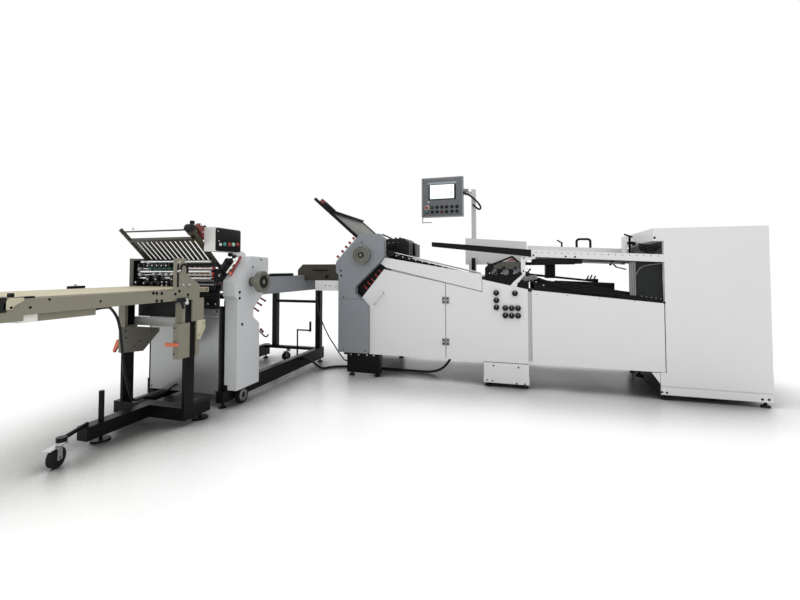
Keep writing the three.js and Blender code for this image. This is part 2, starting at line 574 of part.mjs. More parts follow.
// Feeder cabinet: folded shell on a plinth, hood to the left, bosses for the drum shaft
const drumX = cabinetLeft + drum.reach;
const addCabinet = () => {
  const bodyBottom = cabinet.bottom + cabinet.plinthHeight + cabinet.seam;
  const plinthLeft = cabinetLeft - cabinet.plinthReach;
  const reachTop = body.bottom - panelGap;
  const outer = join(
    box(cabinetLeft, cabinetRight, 0, body.depth, bodyBottom, cabinet.top),
    box(cabinetLeft - cabinet.hoodReach, cabinetLeft + overrun, 0, body.depth,
      cabinet.top - cabinet.hoodHeight,
      cabinet.top),
    box(plinthLeft, cabinetLeft + overrun, 0, body.depth, bodyBottom, reachTop),
    box(plinthLeft + cabinet.seamInset, cabinetRight - cabinet.seamInset, cabinet.seamInset,
      body.depth - cabinet.seamInset, bodyBottom - cabinet.seam - overrun, bodyBottom + overrun),
    box(plinthLeft, cabinetRight, 0, body.depth, cabinet.bottom, cabinet.bottom + cabinet.plinthHeight));
  const inner = cabinet.seamInset + cabinet.wall;
  const hollow = join(
    box(cabinetLeft + cabinet.wall, cabinetRight - cabinet.wall, cabinet.wall, body.depth - cabinet.wall,
      bodyBottom + overrun, cabinet.top - cabinet.wall),
    box(cabinetLeft - cabinet.hoodReach + cabinet.wall, cabinetLeft + overrun, cabinet.wall,
      body.depth - cabinet.wall, cabinet.top - cabinet.hoodHeight + cabinet.wall,
        cabinet.top - cabinet.wall),
    box(plinthLeft + cabinet.wall, cabinetLeft + overrun, cabinet.wall, body.depth - cabinet.wall,
      bodyBottom + overrun, reachTop - cabinet.wall),
    box(cabinetLeft + inner + foot.radius, cabinetRight - inner - foot.radius, inner + foot.radius,
      body.depth - inner - foot.radius, 0, bodyBottom + 2 * overrun));
  const mouth = box(cabinetLeft - overrun, cabinetLeft + overrun, cabinet.mouthInset,
    body.depth - cabinet.mouthInset, cabinet.mouthBottom, cabinet.mouthTop);
  const bosses = [[cabinet.wall / 2, cabinet.wall + drum.bossLength],
    [body.depth - cabinet.wall - drum.bossLength, body.depth - cabinet.wall / 2]].map(
    ([a, b]) => rod([drumX, a, drum.height], [drumX, b, drum.height], drum.bossRadius, 16));
  const bores = rod([drumX, cabinet.wall + overrun, drum.height],
    [drumX, body.depth - cabinet.wall - overrun, drum.height], drum.shaftRadius + drum.fitGap, 16);
  const feet = [[plinthLeft + foot.inset, foot.inset], [cabinetRight - foot.inset, foot.inset],
    [plinthLeft + foot.inset, body.depth - foot.inset], [cabinetRight - foot.inset,
      body.depth - foot.inset]].map(
    ([x, y]) => levellingFoot(x, y, cabinet.bottom));
  add('feeder_cabinet', cut(join(cut(outer, hollow, mouth), ...bosses, ...feet), bores), 'white');
  const middle = body.depth / 2;
  const shell = drum.radius - drum.wall;
  add('feeder_drum', join(
    cut(rod([drumX, drum.inset, drum.height], [drumX, body.depth - drum.inset, drum.height], drum.radius,
      32),
      rod([drumX, 0, drum.height], [drumX, middle - drum.web / 2, drum.height], shell, 32),
      rod([drumX, middle + drum.web / 2, drum.height], [drumX, body.depth, drum.height], shell, 32)),
    rod([drumX, cabinet.wall + overrun + seatGap, drum.height],
      [drumX, body.depth - cabinet.wall - overrun - seatGap, drum.height], drum.shaftRadius, 12)),
  'sheetMetal');
};

// Upper feed table: perforated side beam, deck, rear fence and the cranked bracket
const upperLeft = rightLeft - seatGap;
const panelTopAt = (x) => heightOn(middlePanelOutline[3], middlePanelOutline[2], x);
const addUpperTable = () => {
  const beamRight = cabinetLeft - seatGap;
  const top = (x) => heightOn([upperLeft, upperTable.leftTop], [bodyRight, upperTable.rightTop], x);
  const fence = (x) => heightOn([upperLeft, upperTable.fenceLeft], [bodyRight, upperTable.fenceRight], x);
  const band = (x0, x1, lowBy, highBy) => [
    [x0, top(x0) - lowBy], [x1, top(x1) - lowBy], [x1, top(x1) - highBy], [x0, top(x0) - highBy]];
  const deckLow = upperTable.deckDrop + upperTable.deckThickness;
  const rearFront = body.depth - upperTable.fenceDepth;
  const footLeft = middleLeft + body.middleWidth - upperBracket.footLeft;
  const bracket = atShares(bracketShares, footLeft, upperBracket.bottom, upperBracket.width,
    upperBracket.height);
  const footRight = footLeft + upperBracket.width * 0.25;
  bracket.unshift([footLeft, panelTopAt(footLeft) + seatGap], [footRight, panelTopAt(footRight) + seatGap]);
  add('upper_table', join(
    prism('y', band(upperLeft, beamRight, upperTable.beamHeight, 0), 0, upperTable.beamDepth),
    prism('y', [...band(upperLeft, beamRight, upperTable.beamHeight, 0).slice(0, 2),
      [beamRight, fence(beamRight)], [upperLeft, fence(upperLeft)]], rearFront, body.depth),
    prism('y', band(upperLeft, beamRight, deckLow, upperTable.deckDrop), upperTable.beamDepth - overrun,
      rearFront + overrun),
    prism('y', band(beamRight - overrun, cabinetLeft + upperTable.deckReach, deckLow, upperTable.deckDrop),
      upperTable.deckInset, body.depth - upperTable.deckInset),
    prism('y', bracket, upperBracket.setback, upperBracket.setback + upperBracket.depth)), 'white');
  const armRight = upperLeft - seatGap;
  const armLeft = armRight - arm.length;
  add('upper_table_arm', prism('y', [
    [armLeft, arm.leftTop - arm.leftHeight], [armRight, upperTable.leftTop - upperTable.beamHeight],
    [armRight, upperTable.leftTop], [armLeft, arm.leftTop]], 0, arm.depth), 'black');
  const guardFront = body.depth - guard.inset;
  const guardRear = guardFront + guard.depth;
  const legs = guardLegs.map((x) => box(x, x + guard.legWidth, guardFront, guardRear,
    Math.max(frameTopAt(x), frameTopAt(x + guard.legWidth)) + seatGap, guard.bottom + overrun));
  add('rear_guard_panels', join(
    prism('y', [[guard.left, guard.bottom], [guard.right, guard.bottom], [guard.right, guard.rightTop],
      [guard.left, guard.leftTop]], guardFront, guardRear), ...legs), 'white');
};

// Lower feed table on flanges that stand on the side plates
const addLowerTable = () => {
  const right = cabinetLeft + upperTable.deckReach;
  const flangeRight = bodyRight - 5 * panelGap;
  const top = (x) => heightOn([lowerTable.left, frameTop - lowerTable.leftDrop],
    [right, frameTop - lowerTable.rightDrop], x);
  const band = (x0, x1, lowBy, highBy) => [
    [x0, top(x0) - lowBy], [x1, top(x1) - lowBy], [x1, top(x1) + highBy], [x0, top(x0) + highBy]];
  const flange = [
    [lowerTable.left, frameTopAt(lowerTable.left) + seatGap], [flangeRight,
      frameTopAt(flangeRight) + seatGap],
    [flangeRight, top(flangeRight)], [lowerTable.left, top(lowerTable.left)]];
  const rearFlange = body.depth - lowerTable.flangeSetback - lowerTable.flange;
  add('lower_table', join(
    prism('y', band(lowerTable.left, flangeRight, lowerTable.thickness, 0), lowerTable.flangeSetback,
      body.depth - lowerTable.flangeSetback),
    prism('y', band(lowerTable.left, right, lowerTable.thickness, 0), lowerTable.inset,
      body.depth - lowerTable.inset),
    prism('y', flange, lowerTable.flangeSetback, lowerTable.flangeSetback + lowerTable.flange),
    prism('y', flange, rearFlange, rearFlange + lowerTable.flange),
    prism('y', band(lowerTable.left, right, lowerTable.thickness / 2, lowerTable.railHeight),
      lowerTable.railSetback,
      lowerTable.railSetback + lowerTable.railWidth)), 'darkOlive');
};

// Suction head: side plates, beams, housing, motor on its bar, and the suction roller
const addSuctionHead = () => {
  const headTop = frameTop - head.topDrop;
  const shoulder = frameTop - head.shoulderDrop;
  const rollerHeight = frameTop - head.rollerDrop;
  const outline = [
    [head.left, frameTopAt(head.left) + seatGap], [head.right, frameTopAt(head.right) + seatGap],
    [head.right, shoulder], [head.right - head.beam * 2, headTop], [head.left + head.beam, headTop],
    [head.left, headTop - head.beam]];
  const rearPlate = body.depth - head.setback - head.plate;
  const plates = join(
    prism('y', outline, head.setback, head.setback + head.plate),
    prism('y', outline, rearPlate, rearPlate + head.plate));
  const beams = join(
    box(head.left + head.beam, head.left + 2 * head.beam, head.setback, body.depth - head.setback,
      headTop - 2 * head.beam, headTop - head.beam),
    box(head.rollerX - 3 * head.beam, head.rollerX - 2 * head.beam, head.setback, body.depth - head.setback,
      headTop - 2 * head.beam + overrun, headTop - head.beam + overrun));
  const middle = body.depth / 2;
  const housingRight = head.left + head.beam + head.housingWidth;
  const housing = box(head.left + head.beam, housingRight, middle - head.housingLength / 2,
    middle + head.housingLength / 2, headTop - head.housingHeight, headTop - overrun);
  const motorLeft = housingRight + head.motorReach;
  const bar = box(housingRight - head.beam, motorLeft + overrun, middle - head.barWidth / 2,
    middle + head.barWidth / 2, headTop - 2 * overrun, headTop - 2 * overrun + head.barHeight);
  const motor = box(motorLeft, motorLeft + head.motorWidth, middle - head.motorDepth / 2,
    middle + head.motorDepth / 2, headTop + head.barHeight - head.motorHeight, headTop + head.barHeight);
  const bores = rod([head.rollerX, 0, rollerHeight], [head.rollerX, body.depth, rollerHeight],
    head.journalRadius + head.boreGap, 16);
  add('suction_head', cut(join(plates, beams, housing, bar, motor), bores), 'blackPlastic');
  const clear = head.setback + head.plate + runGap;
  add('suction_roller', join(
    rod([head.rollerX, clear, rollerHeight], [head.rollerX, body.depth - clear, rollerHeight],
      head.rollerRadius, 20),
    rod([head.rollerX, head.setback, rollerHeight],
      [head.rollerX, body.depth - head.setback, rollerHeight], head.journalRadius, 10)), 'rubber');
};

// A toothed wheel round an axis along Y or X, as an outline of four points a tooth
const gearOutline = (a, b, pitchRadius, phase) => {
  const points = [];
  const tooth = 2 * Math.PI / gearTeeth;
  const flankShares = [[-0.34, 0], [-0.14, 1], [0.14, 1], [0.34, 0]];
  for (let i = 0; i < gearTeeth; i += 1) {
    flankShares.forEach(([turn, high]) => {
      const angle = (i + turn + phase) * tooth;
      const radius = pitchRadius + (high ? unit1.gearAddendum : -unit1.gearDedendum);
      points.push([a + radius * Math.cos(angle), b + radius * Math.sin(angle)]);
    });
  }
  return points;
};

// First fold unit: covers with the slope knobs, side plates with the slot levers, rollers
const unit1Outline = (shares) => atShares(shares, -unit1.overhang, unit1.bottom, unit1.width, unit1.height);
const pitch1 = unit1.rollerDiameter + unit1.rollerGap;
const rollers1 = [
  [unit1.driveX, unit1.driveHeight],
  [unit1.driveX, unit1.driveHeight + pitch1],
  [unit1.driveX + pitch1, unit1.driveHeight + pitch1],
];
const cover1Outline = unit1Outline(cover1OutlineShares);
const [slopeLow, slopeHigh] = [cover1Outline[10], cover1Outline[9]];
const slopeLength = Math.hypot(slopeHigh[0] - slopeLow[0], slopeHigh[1] - slopeLow[1]);
const slopeAlong = [(slopeHigh[0] - slopeLow[0]) / slopeLength, (slopeHigh[1] - slopeLow[1]) / slopeLength];
const slopeOut = [-slopeAlong[1], slopeAlong[0]];
const slopeKnobs = () => slopeKnobShares.map((share) => {
  const y = slopeKnob.setback - unit1.proud;
  const at = (out) => [slopeLow[0] + share * slopeLength * slopeAlong[0] + out * slopeOut[0], y,
    slopeLow[1] + share * slopeLength * slopeAlong[1] + out * slopeOut[1]];
  return join(
    rod(at(-unit1.coverWall / 2), at(slopeKnob.stemLength + overrun), slopeKnob.stemRadius, 6),
    rod(at(slopeKnob.stemLength), at(slopeKnob.length), slopeKnob.radius, 8));
});
const slotLevers = () => unit1Outline(slotLeverShares).map(([x, z]) => {
  const half = slotLever.length / 2;
  const side = slotLever.width / 2;
  const corner = (a, b) => [x + a * slopeOut[0] + b * slopeAlong[0],
    z + a * slopeOut[1] + b * slopeAlong[1]];
  return prism('y', [corner(-half, -side), corner(half, -side), corner(half, side), corner(-half, side)],
    frame.setback - slotLever.thickness, frame.setback + seatGap);
});
const addUnit1 = () => {
  const plateOutline = unit1Outline(plate1OutlineShares);
  const coverDepth = unit1.proud + frame.setback - seatGap;
  const [driveX, driveZ] = rollers1[0];
  const shell = cut(
    prism('y', cover1Outline, -unit1.proud, -unit1.proud + coverDepth),
    prism('y', insetOutline(cover1Outline, unit1.coverWall), -unit1.proud + unit1.coverWall, body.depth),
    rod([driveX, -unit1.proud - overrun, driveZ], [driveX, 0, driveZ], unit1.journalRadius + runGap * 2,
      16));
  add('unit1_front_cover', join(shell, ...slopeKnobs()), 'grey');
  const rearFront = frameRearOuter + seatGap;
  add('unit1_rear_cover', cut(
    prism('y', cover1Outline, rearFront, rearFront + coverDepth),
    prism('y', insetOutline(cover1Outline, unit1.coverWall), 0,
      rearFront + coverDepth - unit1.coverWall)), 'grey');
  const bores = rollers1.map(([x, z]) => rod([x, 0, z], [x, body.depth, z],
    unit1.journalRadius + head.boreGap, 16));
  const ties = unit1Outline(tie1Shares).map(
    ([x, z]) => rod([x, frameInner - overrun, z], [x, frameRearInner + overrun, z], unit1.tieRadius, 8));
  add('unit1_side_frames', join(cut(join(
    prism('y', plateOutline, frame.setback, frameInner),
    prism('y', plateOutline, frameRearInner, frameRearOuter), ...ties), ...bores), ...slotLevers()),
      'black');
  const clear = frameInner + unit1.barrelInset;
  rollers1.forEach(([x, z], i) => {
    const gearFront = frame.setback - unit1.gearWidth - runGap;
    const shaftFront = i === 0 ? -unit1.proud - runGap : gearFront - overrun;
    add(`unit1_fold_roller_${i + 1}`, join(
      rod([x, clear, z], [x, body.depth - clear, z], unit1.rollerDiameter / 2, 16),
      rod([x, shaftFront, z], [x, frameRearOuter, z], unit1.journalRadius, 10),
      prism('y', gearOutline(x, z, pitch1 / 2, i === 1 ? 0.5 : 0), gearFront, gearFront + unit1.gearWidth)),
    'steel');
  });
  const wheelFront = -unit1.proud - unit1.handwheelStandoff - unit1.handwheelWidth;
  const wheelBack = wheelFront + unit1.handwheelWidth;
  const dish = unit1.handwheelDiameter / 3;
  add('unit1_handwheel', join(
    cut(
      rod([driveX, wheelFront, driveZ], [driveX, wheelBack, driveZ], unit1.handwheelDiameter / 2, 24),
      rod([driveX, wheelFront - overrun, driveZ], [driveX, wheelFront + unit1.handwheelWidth / 2, driveZ],
        dish, 20)),
    rod([driveX, wheelFront, driveZ], [driveX, -unit1.proud - runGap - seatGap, driveZ], unit1.hubRadius,
      16)),
  'wheelHub');
};

// Places along a slope: distance along it and height square to it
const onSlope = (start, degrees, side) => (along, square) => {
  const turn = THREE.MathUtils.degToRad(degrees);
  return [start[0] + side * (along * Math.cos(turn) - square * Math.sin(turn)),
    start[1] + along * Math.sin(turn) + square * Math.cos(turn)];
};
const slab = (place, from, to, low, high) => [place(from, low), place(to, low), place(to, high),
  place(from, high)];
const slope1 = onSlope(
  [unit1.driveX + buckle1.mouthReach, unit1.driveHeight + buckle1.mouthRise], buckle1.slope, -1);
const slopeDown = ([x, z], degrees) => (along, square) => {
  const turn = THREE.MathUtils.degToRad(degrees);
  return [x + along * Math.cos(turn) + square * Math.sin(turn),
    z - along * Math.sin(turn) + square * Math.cos(turn)];
};
const railFront = frameInner + seatGap;
const railRear = frameRearInner - seatGap;

// Buckle plates: side rails, sheets and rods, and the sliding paper stop
const buckleBody = (place, length, farLength, sheetLength, rodAt) => {
  const half = buckle1.sheetThickness / 2;
  const railHalf = buckle1.railHeight / 2;
  const near = prism('y', slab(place, 0, length, -railHalf, railHalf), railFront,
    railFront + buckle1.railThickness);
  const far = prism('y', slab(place, 0, farLength, -railHalf, railHalf), railRear - buckle1.railThickness,
    railRear);
  const sheet = prism('y', slab(place, half, sheetLength, -half, half), railFront + overrun,
    railRear - overrun);
  const [x, z] = place(rodAt, -half);
  return join(near, far, sheet,
    rod([x, railFront + overrun, z], [x, railRear - overrun, z], buckle1.rodRadius, 8));
};
const addBuckles1 = () => {
  add('unit1_upper_buckle',
    buckleBody(slope1, buckle1.length, buckle1.farLength, buckle1.sheetLength, buckle1.rodAt), 'sheetMetal');
  const lower = slopeDown([buckle1.lowerStartX, buckle1.lowerStartHeight], buckle1.lowerSlope);
  add('unit1_lower_buckle', buckleBody(lower, buckle1.lowerLength, buckle1.lowerLength, buckle1.sheetLength,
    buckle1.lowerLength - 2 * buckle1.rodRadius), 'sheetMetal');
  const low = buckle1.railHeight / 2 + seatGap;
  const front = railFront + runGap;
  add('unit1_buckle_stop', join(
    prism('y', slab(slope1, buckleStop.at, buckleStop.at + buckleStop.width, low, low + buckleStop.height),
      front, railRear),
    prism('y', slab(slope1, buckleStop.at, buckleStop.at + buckleStop.carriageLength,
      low, low + buckleStop.carriageHeight), front, front + buckleStop.carriageWidth)), 'redPlastic');
};

// Infeed head over the register table, its plates bolted inside the unit's side plates
const addInfeedHead = () => {
  const right = infeed.left + infeed.boxWidth;
  const plates = [frameInner + seatGap, frameRearInner - seatGap - infeed.plate].map((y) => box(
    infeed.left - infeed.plateReach, infeed.left + infeed.beamWidth, y, y + infeed.plate,
    infeed.plateBottom + infeed.beamHeight, infeed.bottom + infeed.beamHeight));
  add('infeed_head', join(
    ...plates,
    box(infeed.left, infeed.left + infeed.beamWidth, frameInner + 2 * seatGap, frameRearInner - 2 * seatGap,
      infeed.bottom, infeed.bottom + infeed.beamHeight),
    box(infeed.left + overrun, right, infeed.boxInset, body.depth - infeed.boxInset, infeed.bottom - overrun,
      infeed.bottom + infeed.boxHeight)), 'blackPlastic');
};

// Pole with arm and cable loop, panel housing on its knuckle, emergency stop
const poleRear = frameRearOuter + seatGap;
const knuckleX = pole.left - pole.armLength;
const knuckleY = poleRear + pole.width / 2;
const knuckleZ = pole.top - pole.armHeight;
const addControlPanel = () => {
  const curve = new THREE.CatmullRomCurve3([
    new THREE.Vector3(pole.left - loop.radius, knuckleY, pole.top - pole.armHeight / 2),
    new THREE.Vector3(pole.left - loop.reach / 2, knuckleY - loop.reach / 2, pole.top - loop.reach / 2),
    new THREE.Vector3(pole.left + pole.width / 2, knuckleY - loop.reach, pole.top - loop.drop),
    new THREE.Vector3(pole.left + pole.width / 2, knuckleY - pole.width / 2,
      pole.top - loop.drop - loop.reach / 2),
    new THREE.Vector3(pole.left + pole.width / 2, knuckleY, pole.top - loop.drop - loop.reach / 2),
  ]);
  const section = new THREE.Shape().absarc(0, 0, loop.radius, 0, 2 * Math.PI, false);
  const conduit = toSolid(new THREE.ExtrudeGeometry(section, {
    steps: 12, curveSegments: 4, bevelEnabled: false, extrudePath: curve }));
  add('panel_pole', join(
    box(pole.left, pole.left + pole.width, poleRear, poleRear + pole.width, pole.bottom, pole.top),
    box(knuckleX, pole.left + overrun, knuckleY - pole.knuckleRadius / 2, knuckleY + pole.knuckleRadius / 2,
      knuckleZ, knuckleZ + pole.armHeight / 2),
    rod([knuckleX, knuckleY, knuckleZ], [knuckleX, knuckleY, knuckleZ + pole.armHeight / 2],
      pole.knuckleRadius, 16),
    conduit), 'lightGrey');
  const lugBottom = knuckleZ + pole.armHeight / 2 + seatGap;
  const panelFront = poleRear - panel.forward;
  const panelBack = panelFront + panel.depth;
  const left = panel.right - panel.width;
  const stopX = left + panel.stopShareX * panel.width;
  const stopZ = panel.bottom + panel.stopShareZ * panel.height;
  const hookX = left + overrun;
  add('panel_housing', cut(
    join(
      box(left, panel.right, panelFront, panelBack, panel.bottom, panel.bottom + panel.height),
      rod([knuckleX, knuckleY, lugBottom], [knuckleX, knuckleY, lugBottom + panel.lugHeight],
        pole.knuckleRadius, 16),
      prism('z', [
        [panel.right - 2 * pole.knuckleRadius, panelBack - overrun], [panel.right, panelBack - overrun],
        [knuckleX, knuckleY - pole.knuckleRadius / 2], [knuckleX, knuckleY + pole.knuckleRadius / 2],
        [panel.right - 2 * pole.knuckleRadius, panelBack + pole.knuckleRadius]],
      lugBottom, lugBottom + panel.lugHeight),
      rod([hookX, panelFront + panel.depth / 2, panel.bottom + overrun],
        [hookX, panelFront + panel.depth / 2, panel.bottom - panel.hookDrop], panel.hookRadius, 8),
      rod([hookX - panel.hookRadius, panelFront + panel.depth / 2, panel.bottom - panel.hookDrop],
        [hookX + panel.hookReach, panelFront + panel.depth / 2, panel.bottom - panel.hookDrop],
        panel.hookRadius, 8)),
    rod([stopX, panelFront - overrun, stopZ], [stopX, panelFront + panel.depth / 2, stopZ],
      panel.stopStem + seatGap, 12),
    box(left + panel.wall + overrun, panel.right - panel.wall, panelFront + panel.wall,
      panelBack - 2 * panel.wall, panel.bottom + 2 * overrun, panel.bottom + panel.height - panel.wall)),
  'grey');
  add('emergency_stop', join(
    rod([stopX, panelFront - panel.stopDepth - overrun, stopZ], [stopX, panelFront - overrun, stopZ],
      panel.stopRadius, 16),
    rod([stopX, panelFront - 2 * overrun, stopZ], [stopX, panelFront + overrun, stopZ],
      panel.stopStem - seatGap, 12)), 'redPlastic');
};

// Second fold unit, its rollers lying along X between two side plates
const plate2Right = unit2.coverRight - unit2.coverThickness - seatGap;
const plate2InnerRight = plate2Right - unit2.plate;
const plate2InnerLeft = plate2InnerRight - unit2.innerWidth;
const plate2Left = plate2InnerLeft - unit2.plate;
const outline2 = (shares) => atShares(shares, unit2.coverFront, unit2.coverBottom, unit2.coverWidth,
  unit2.coverHeight);
const pitch2 = unit2.rollerDiameter + unit1.rollerGap;
const cover2Top = unit2.coverBottom + unit2.coverHeight;
const driveHeight2 = cover2Top - unit2.driveDrop;
const rollers2 = [
  [unit2.driveY, driveHeight2],
  [unit2.driveY, driveHeight2 + pitch2],
  [unit2.driveY - pitch2, driveHeight2 + pitch2],
];
const slitter = [unit2.slitterY, cover2Top - unit2.slitterDrop];
const addUnit2 = () => {
  const cover = outline2(cover2OutlineShares);
  const [driveY, driveZ] = rollers2[0];
  const wallIn = unit2.coverRight - unit2.coverWall;
  const coverLeft = unit2.coverRight - unit2.coverThickness;
  const seat = base2.rearTop + seatGap;
  add('unit2_side_cover', cut(
    prism('x', cover, coverLeft, unit2.coverRight),
    prism('x', insetOutline(cover, unit2.coverWall), coverLeft - overrun, wallIn),
    box(coverLeft - overrun, base2.right + seatGap, base2.stepY - base2.tube, base2.rear, 0, seat),
    rod([wallIn - overrun, driveY, driveZ], [unit2.coverRight + overrun, driveY, driveZ],
      unit1.journalRadius + 2 * runGap, 16)), 'lightGrey');
  const outline = outline2(plate2OutlineShares);
  const noseFront = unit2.coverFront - unit2.noseReach;
  const noseBottom = cover2Top - unit2.noseBottomDrop;
  const noseTop = cover2Top - unit2.noseTopDrop;
  const leftNose = [[noseFront, noseBottom], [driveY, noseBottom], [driveY, noseTop],
    [noseFront, noseTop]];
  const rightNose = [[slitter[0] - unit2.bearingReach, slitter[1] - unit2.bearingReach],
    [driveY, slitter[1] - unit2.bearingReach], [driveY, slitter[1] + unit2.bearingReach],
    [slitter[0] - unit2.bearingReach, slitter[1] + unit2.bearingReach]];
  const bores = [...rollers2, slitter].map(([y, z]) => rod(
    [plate2Left - overrun, y, z], [plate2Right + overrun, y, z], unit1.journalRadius + head.boreGap, 16));
  const ties = outline2(tie2Shares).map(([y, z]) => rod(
    [plate2InnerLeft - overrun, y, z], [plate2InnerRight + overrun, y, z], unit1.tieRadius, 8));
  const ledgeTop = carrier.bottom - seatGap;
  const ledge = box(plate2InnerLeft - overrun, plate2InnerRight + overrun, unit2.ledgeFront,
    carrier.front + unit2.ledgeReach, ledgeTop - unit2.ledgeHeight, ledgeTop);
  const under = box(plate2Left - overrun, plate2Right + overrun, base2.stepY - base2.tube, base2.rear, 0,
    seat);
  add('unit2_side_frames', cut(join(
    prism('x', outline, plate2InnerRight, plate2Right),
    prism('x', outline, plate2Left, plate2InnerLeft),
    prism('x', leftNose, plate2Left, plate2InnerLeft),
    prism('x', rightNose, plate2InnerRight, plate2Right),
    ledge, ...ties), under, ...bores), 'black');
  const left = plate2InnerLeft + unit2.barrelInset;
  const right = plate2InnerRight - unit2.barrelInset;
  rollers2.forEach(([y, z], i) => {
    const gearLeft = plate2Right + runGap;
    const shaftRight = i === 0 ? unit2.coverRight + runGap : gearLeft + unit1.gearWidth + overrun;
    add(`unit2_fold_roller_${i + 1}`, join(
      rod([left, y, z], [right, y, z], unit2.rollerDiameter / 2, 16),
      rod([plate2Left, y, z], [shaftRight, y, z], unit1.journalRadius, 10),
      prism('x', gearOutline(y, z, pitch2 / 2, i === 1 ? 0.5 : 0), gearLeft, gearLeft + unit1.gearWidth)),
        'redPlastic');
  });
  const wheelLeft = unit2.coverRight + unit2.handwheelStandoff;
  const wheelRight = wheelLeft + unit2.handwheelWidth;
  const dish = unit2.handwheelDiameter / 3;
  add('unit2_handwheel', join(
    cut(
      rod([wheelLeft, driveY, driveZ], [wheelRight, driveY, driveZ], unit2.handwheelDiameter / 2, 24),
      rod([wheelLeft + unit2.handwheelWidth / 2, driveY, driveZ], [wheelRight + overrun, driveY, driveZ],
        dish, 20)),
    rod([unit2.coverRight + runGap + seatGap, driveY, driveZ], [wheelRight, driveY, driveZ],
      unit1.hubRadius, 16)), 'wheelHub');
  const discs = discShares.map((share) => {
    const x = left + share * (right - left);
    return rod([x, ...slitter], [x + unit2.discThickness, ...slitter], unit2.discRadius, 16);
  });
  add('unit2_slitter_shaft', join(
    rod([left, ...slitter], [right, ...slitter], unit2.shaftRadius, 12),
    rod([plate2Left, ...slitter], [plate2Right, ...slitter], unit1.journalRadius, 12), ...discs), 'steel');
  const sheet = lowerPanel.thickness;
  const panelLeft = base2.left + base2.tube + seatGap;
  const panelRight = base2.right - base2.tube - seatGap;
  add('unit2_lower_panels', join(
    box(panelLeft, panelRight, lowerPanel.front, lowerPanel.front + sheet, lowerPanel.bottom,
      lowerPanel.top),
    box(panelLeft, panelRight, lowerPanel.front, lowerPanel.front + lowerPanel.lipDepth, lowerPanel.bottom,
      lowerPanel.bottom + sheet),
    box(panelLeft, panelLeft + sheet, lowerPanel.front, lowerPanel.front + lowerPanel.lipDepth,
      lowerPanel.bottom,
      lowerPanel.top),
    box(panelRight - sheet, panelRight, lowerPanel.front, lowerPanel.front + lowerPanel.lipDepth,
      lowerPanel.bottom, lowerPanel.top),
    box(panelLeft, panelRight, lowerPanel.front, lowerPanel.front + lowerPanel.topDepth,
      lowerPanel.top - sheet,
      lowerPanel.top)), 'sheetMetal');
};

// Upper buckle plate of the second unit: rails, cross bars, slats and the stop block
const addBuckle2 = () => {
  const place = onSlope([buckle2.startY, driveHeight2 + buckle2.startRise], buckle2.slope, -1);
  const left = plate2InnerLeft + seatGap;
  const right = box2.left - runGap;
  const half = buckle2.railHeight / 2;
  const spacer = prism('x', slab(place, 0, 3 * half, -half, half), right - overrun,
    plate2InnerRight - seatGap);
  const rails = [left, right - buckle2.railThickness].map((x) => prism(
    'x', slab(place, 0, buckle2.length, -half, half), x, x + buckle2.railThickness));
  const inner = right - left - 2 * buckle2.railThickness;
  const step = inner / buckle2.slats;
  const slats = Array.from({ length: buckle2.slats }, (_, i) => {
    const x = left + buckle2.railThickness + (i + 0.5) * step - buckle2.slatWidth / 2;
    return prism('x', slab(place, buckle2.slatFrom, buckle2.crossAt + half, -buckle2.slatThickness / 2,
      buckle2.slatThickness / 2), x, x + buckle2.slatWidth);
  });
  const cross = [buckle2.slatFrom - half, buckle2.crossAt].map((along) => prism(
    'x', slab(place, along, along + buckle2.crossHeight, -half, half), left + overrun, right - overrun));
  const [rodY, rodZ] = place(buckle2.length - 2 * half, 0);
  add('unit2_upper_buckle', join(spacer, ...rails, ...slats, ...cross,
    rod([left + overrun, rodY, rodZ], [right - overrun, rodY, rodZ], buckle2.rodRadius, 8),
    prism('x', slab(place, buckle2.length - buckle2.blockLength, buckle2.length, -half, buckle2.blockHeight),
      right - buckle2.blockDepth, right - overrun)), 'darkOlive');
};

// Control box of the second unit, on a brace that stands on the right side plate
const addControlBox2 = () => {
  const [topRear, topFront] = outline2([plate2OutlineShares[7], plate2OutlineShares[8]]);
  const rear = box2.front + box2.depth;
  const seat = topFront[1] + seatGap;
  const boxBottom = seat + box2.seatRise;
  const brace = [
    [topFront[0], seat], [topFront[0] + box2.braceWidth, seat],
    [Math.min(topRear[0], topFront[0] + box2.braceWidth), seat + box2.braceRise],
    [rear, boxBottom + box2.braceRise], [rear - box2.braceWidth, boxBottom + box2.braceRise],
    [rear - box2.braceWidth, boxBottom - overrun]];
  const across = (box2.left + box2.right) / 2;
  const along = box2.front + box2.depth / 3;
  add('unit2_control_box', cut(
    join(
      box(box2.left, box2.right, box2.front, rear, boxBottom, boxBottom + box2.height),
      prism('x', brace, plate2InnerRight, plate2Right)),
    box(box2.left + box2.wall, box2.right - box2.wall, box2.front + box2.wall, rear - box2.braceWidth,
      boxBottom + box2.wall, boxBottom + box2.height - box2.wall),
    rod([across, along, boxBottom - overrun], [across, along, boxBottom + overrun], box2.entryRadius, 12)),
  'white');
};

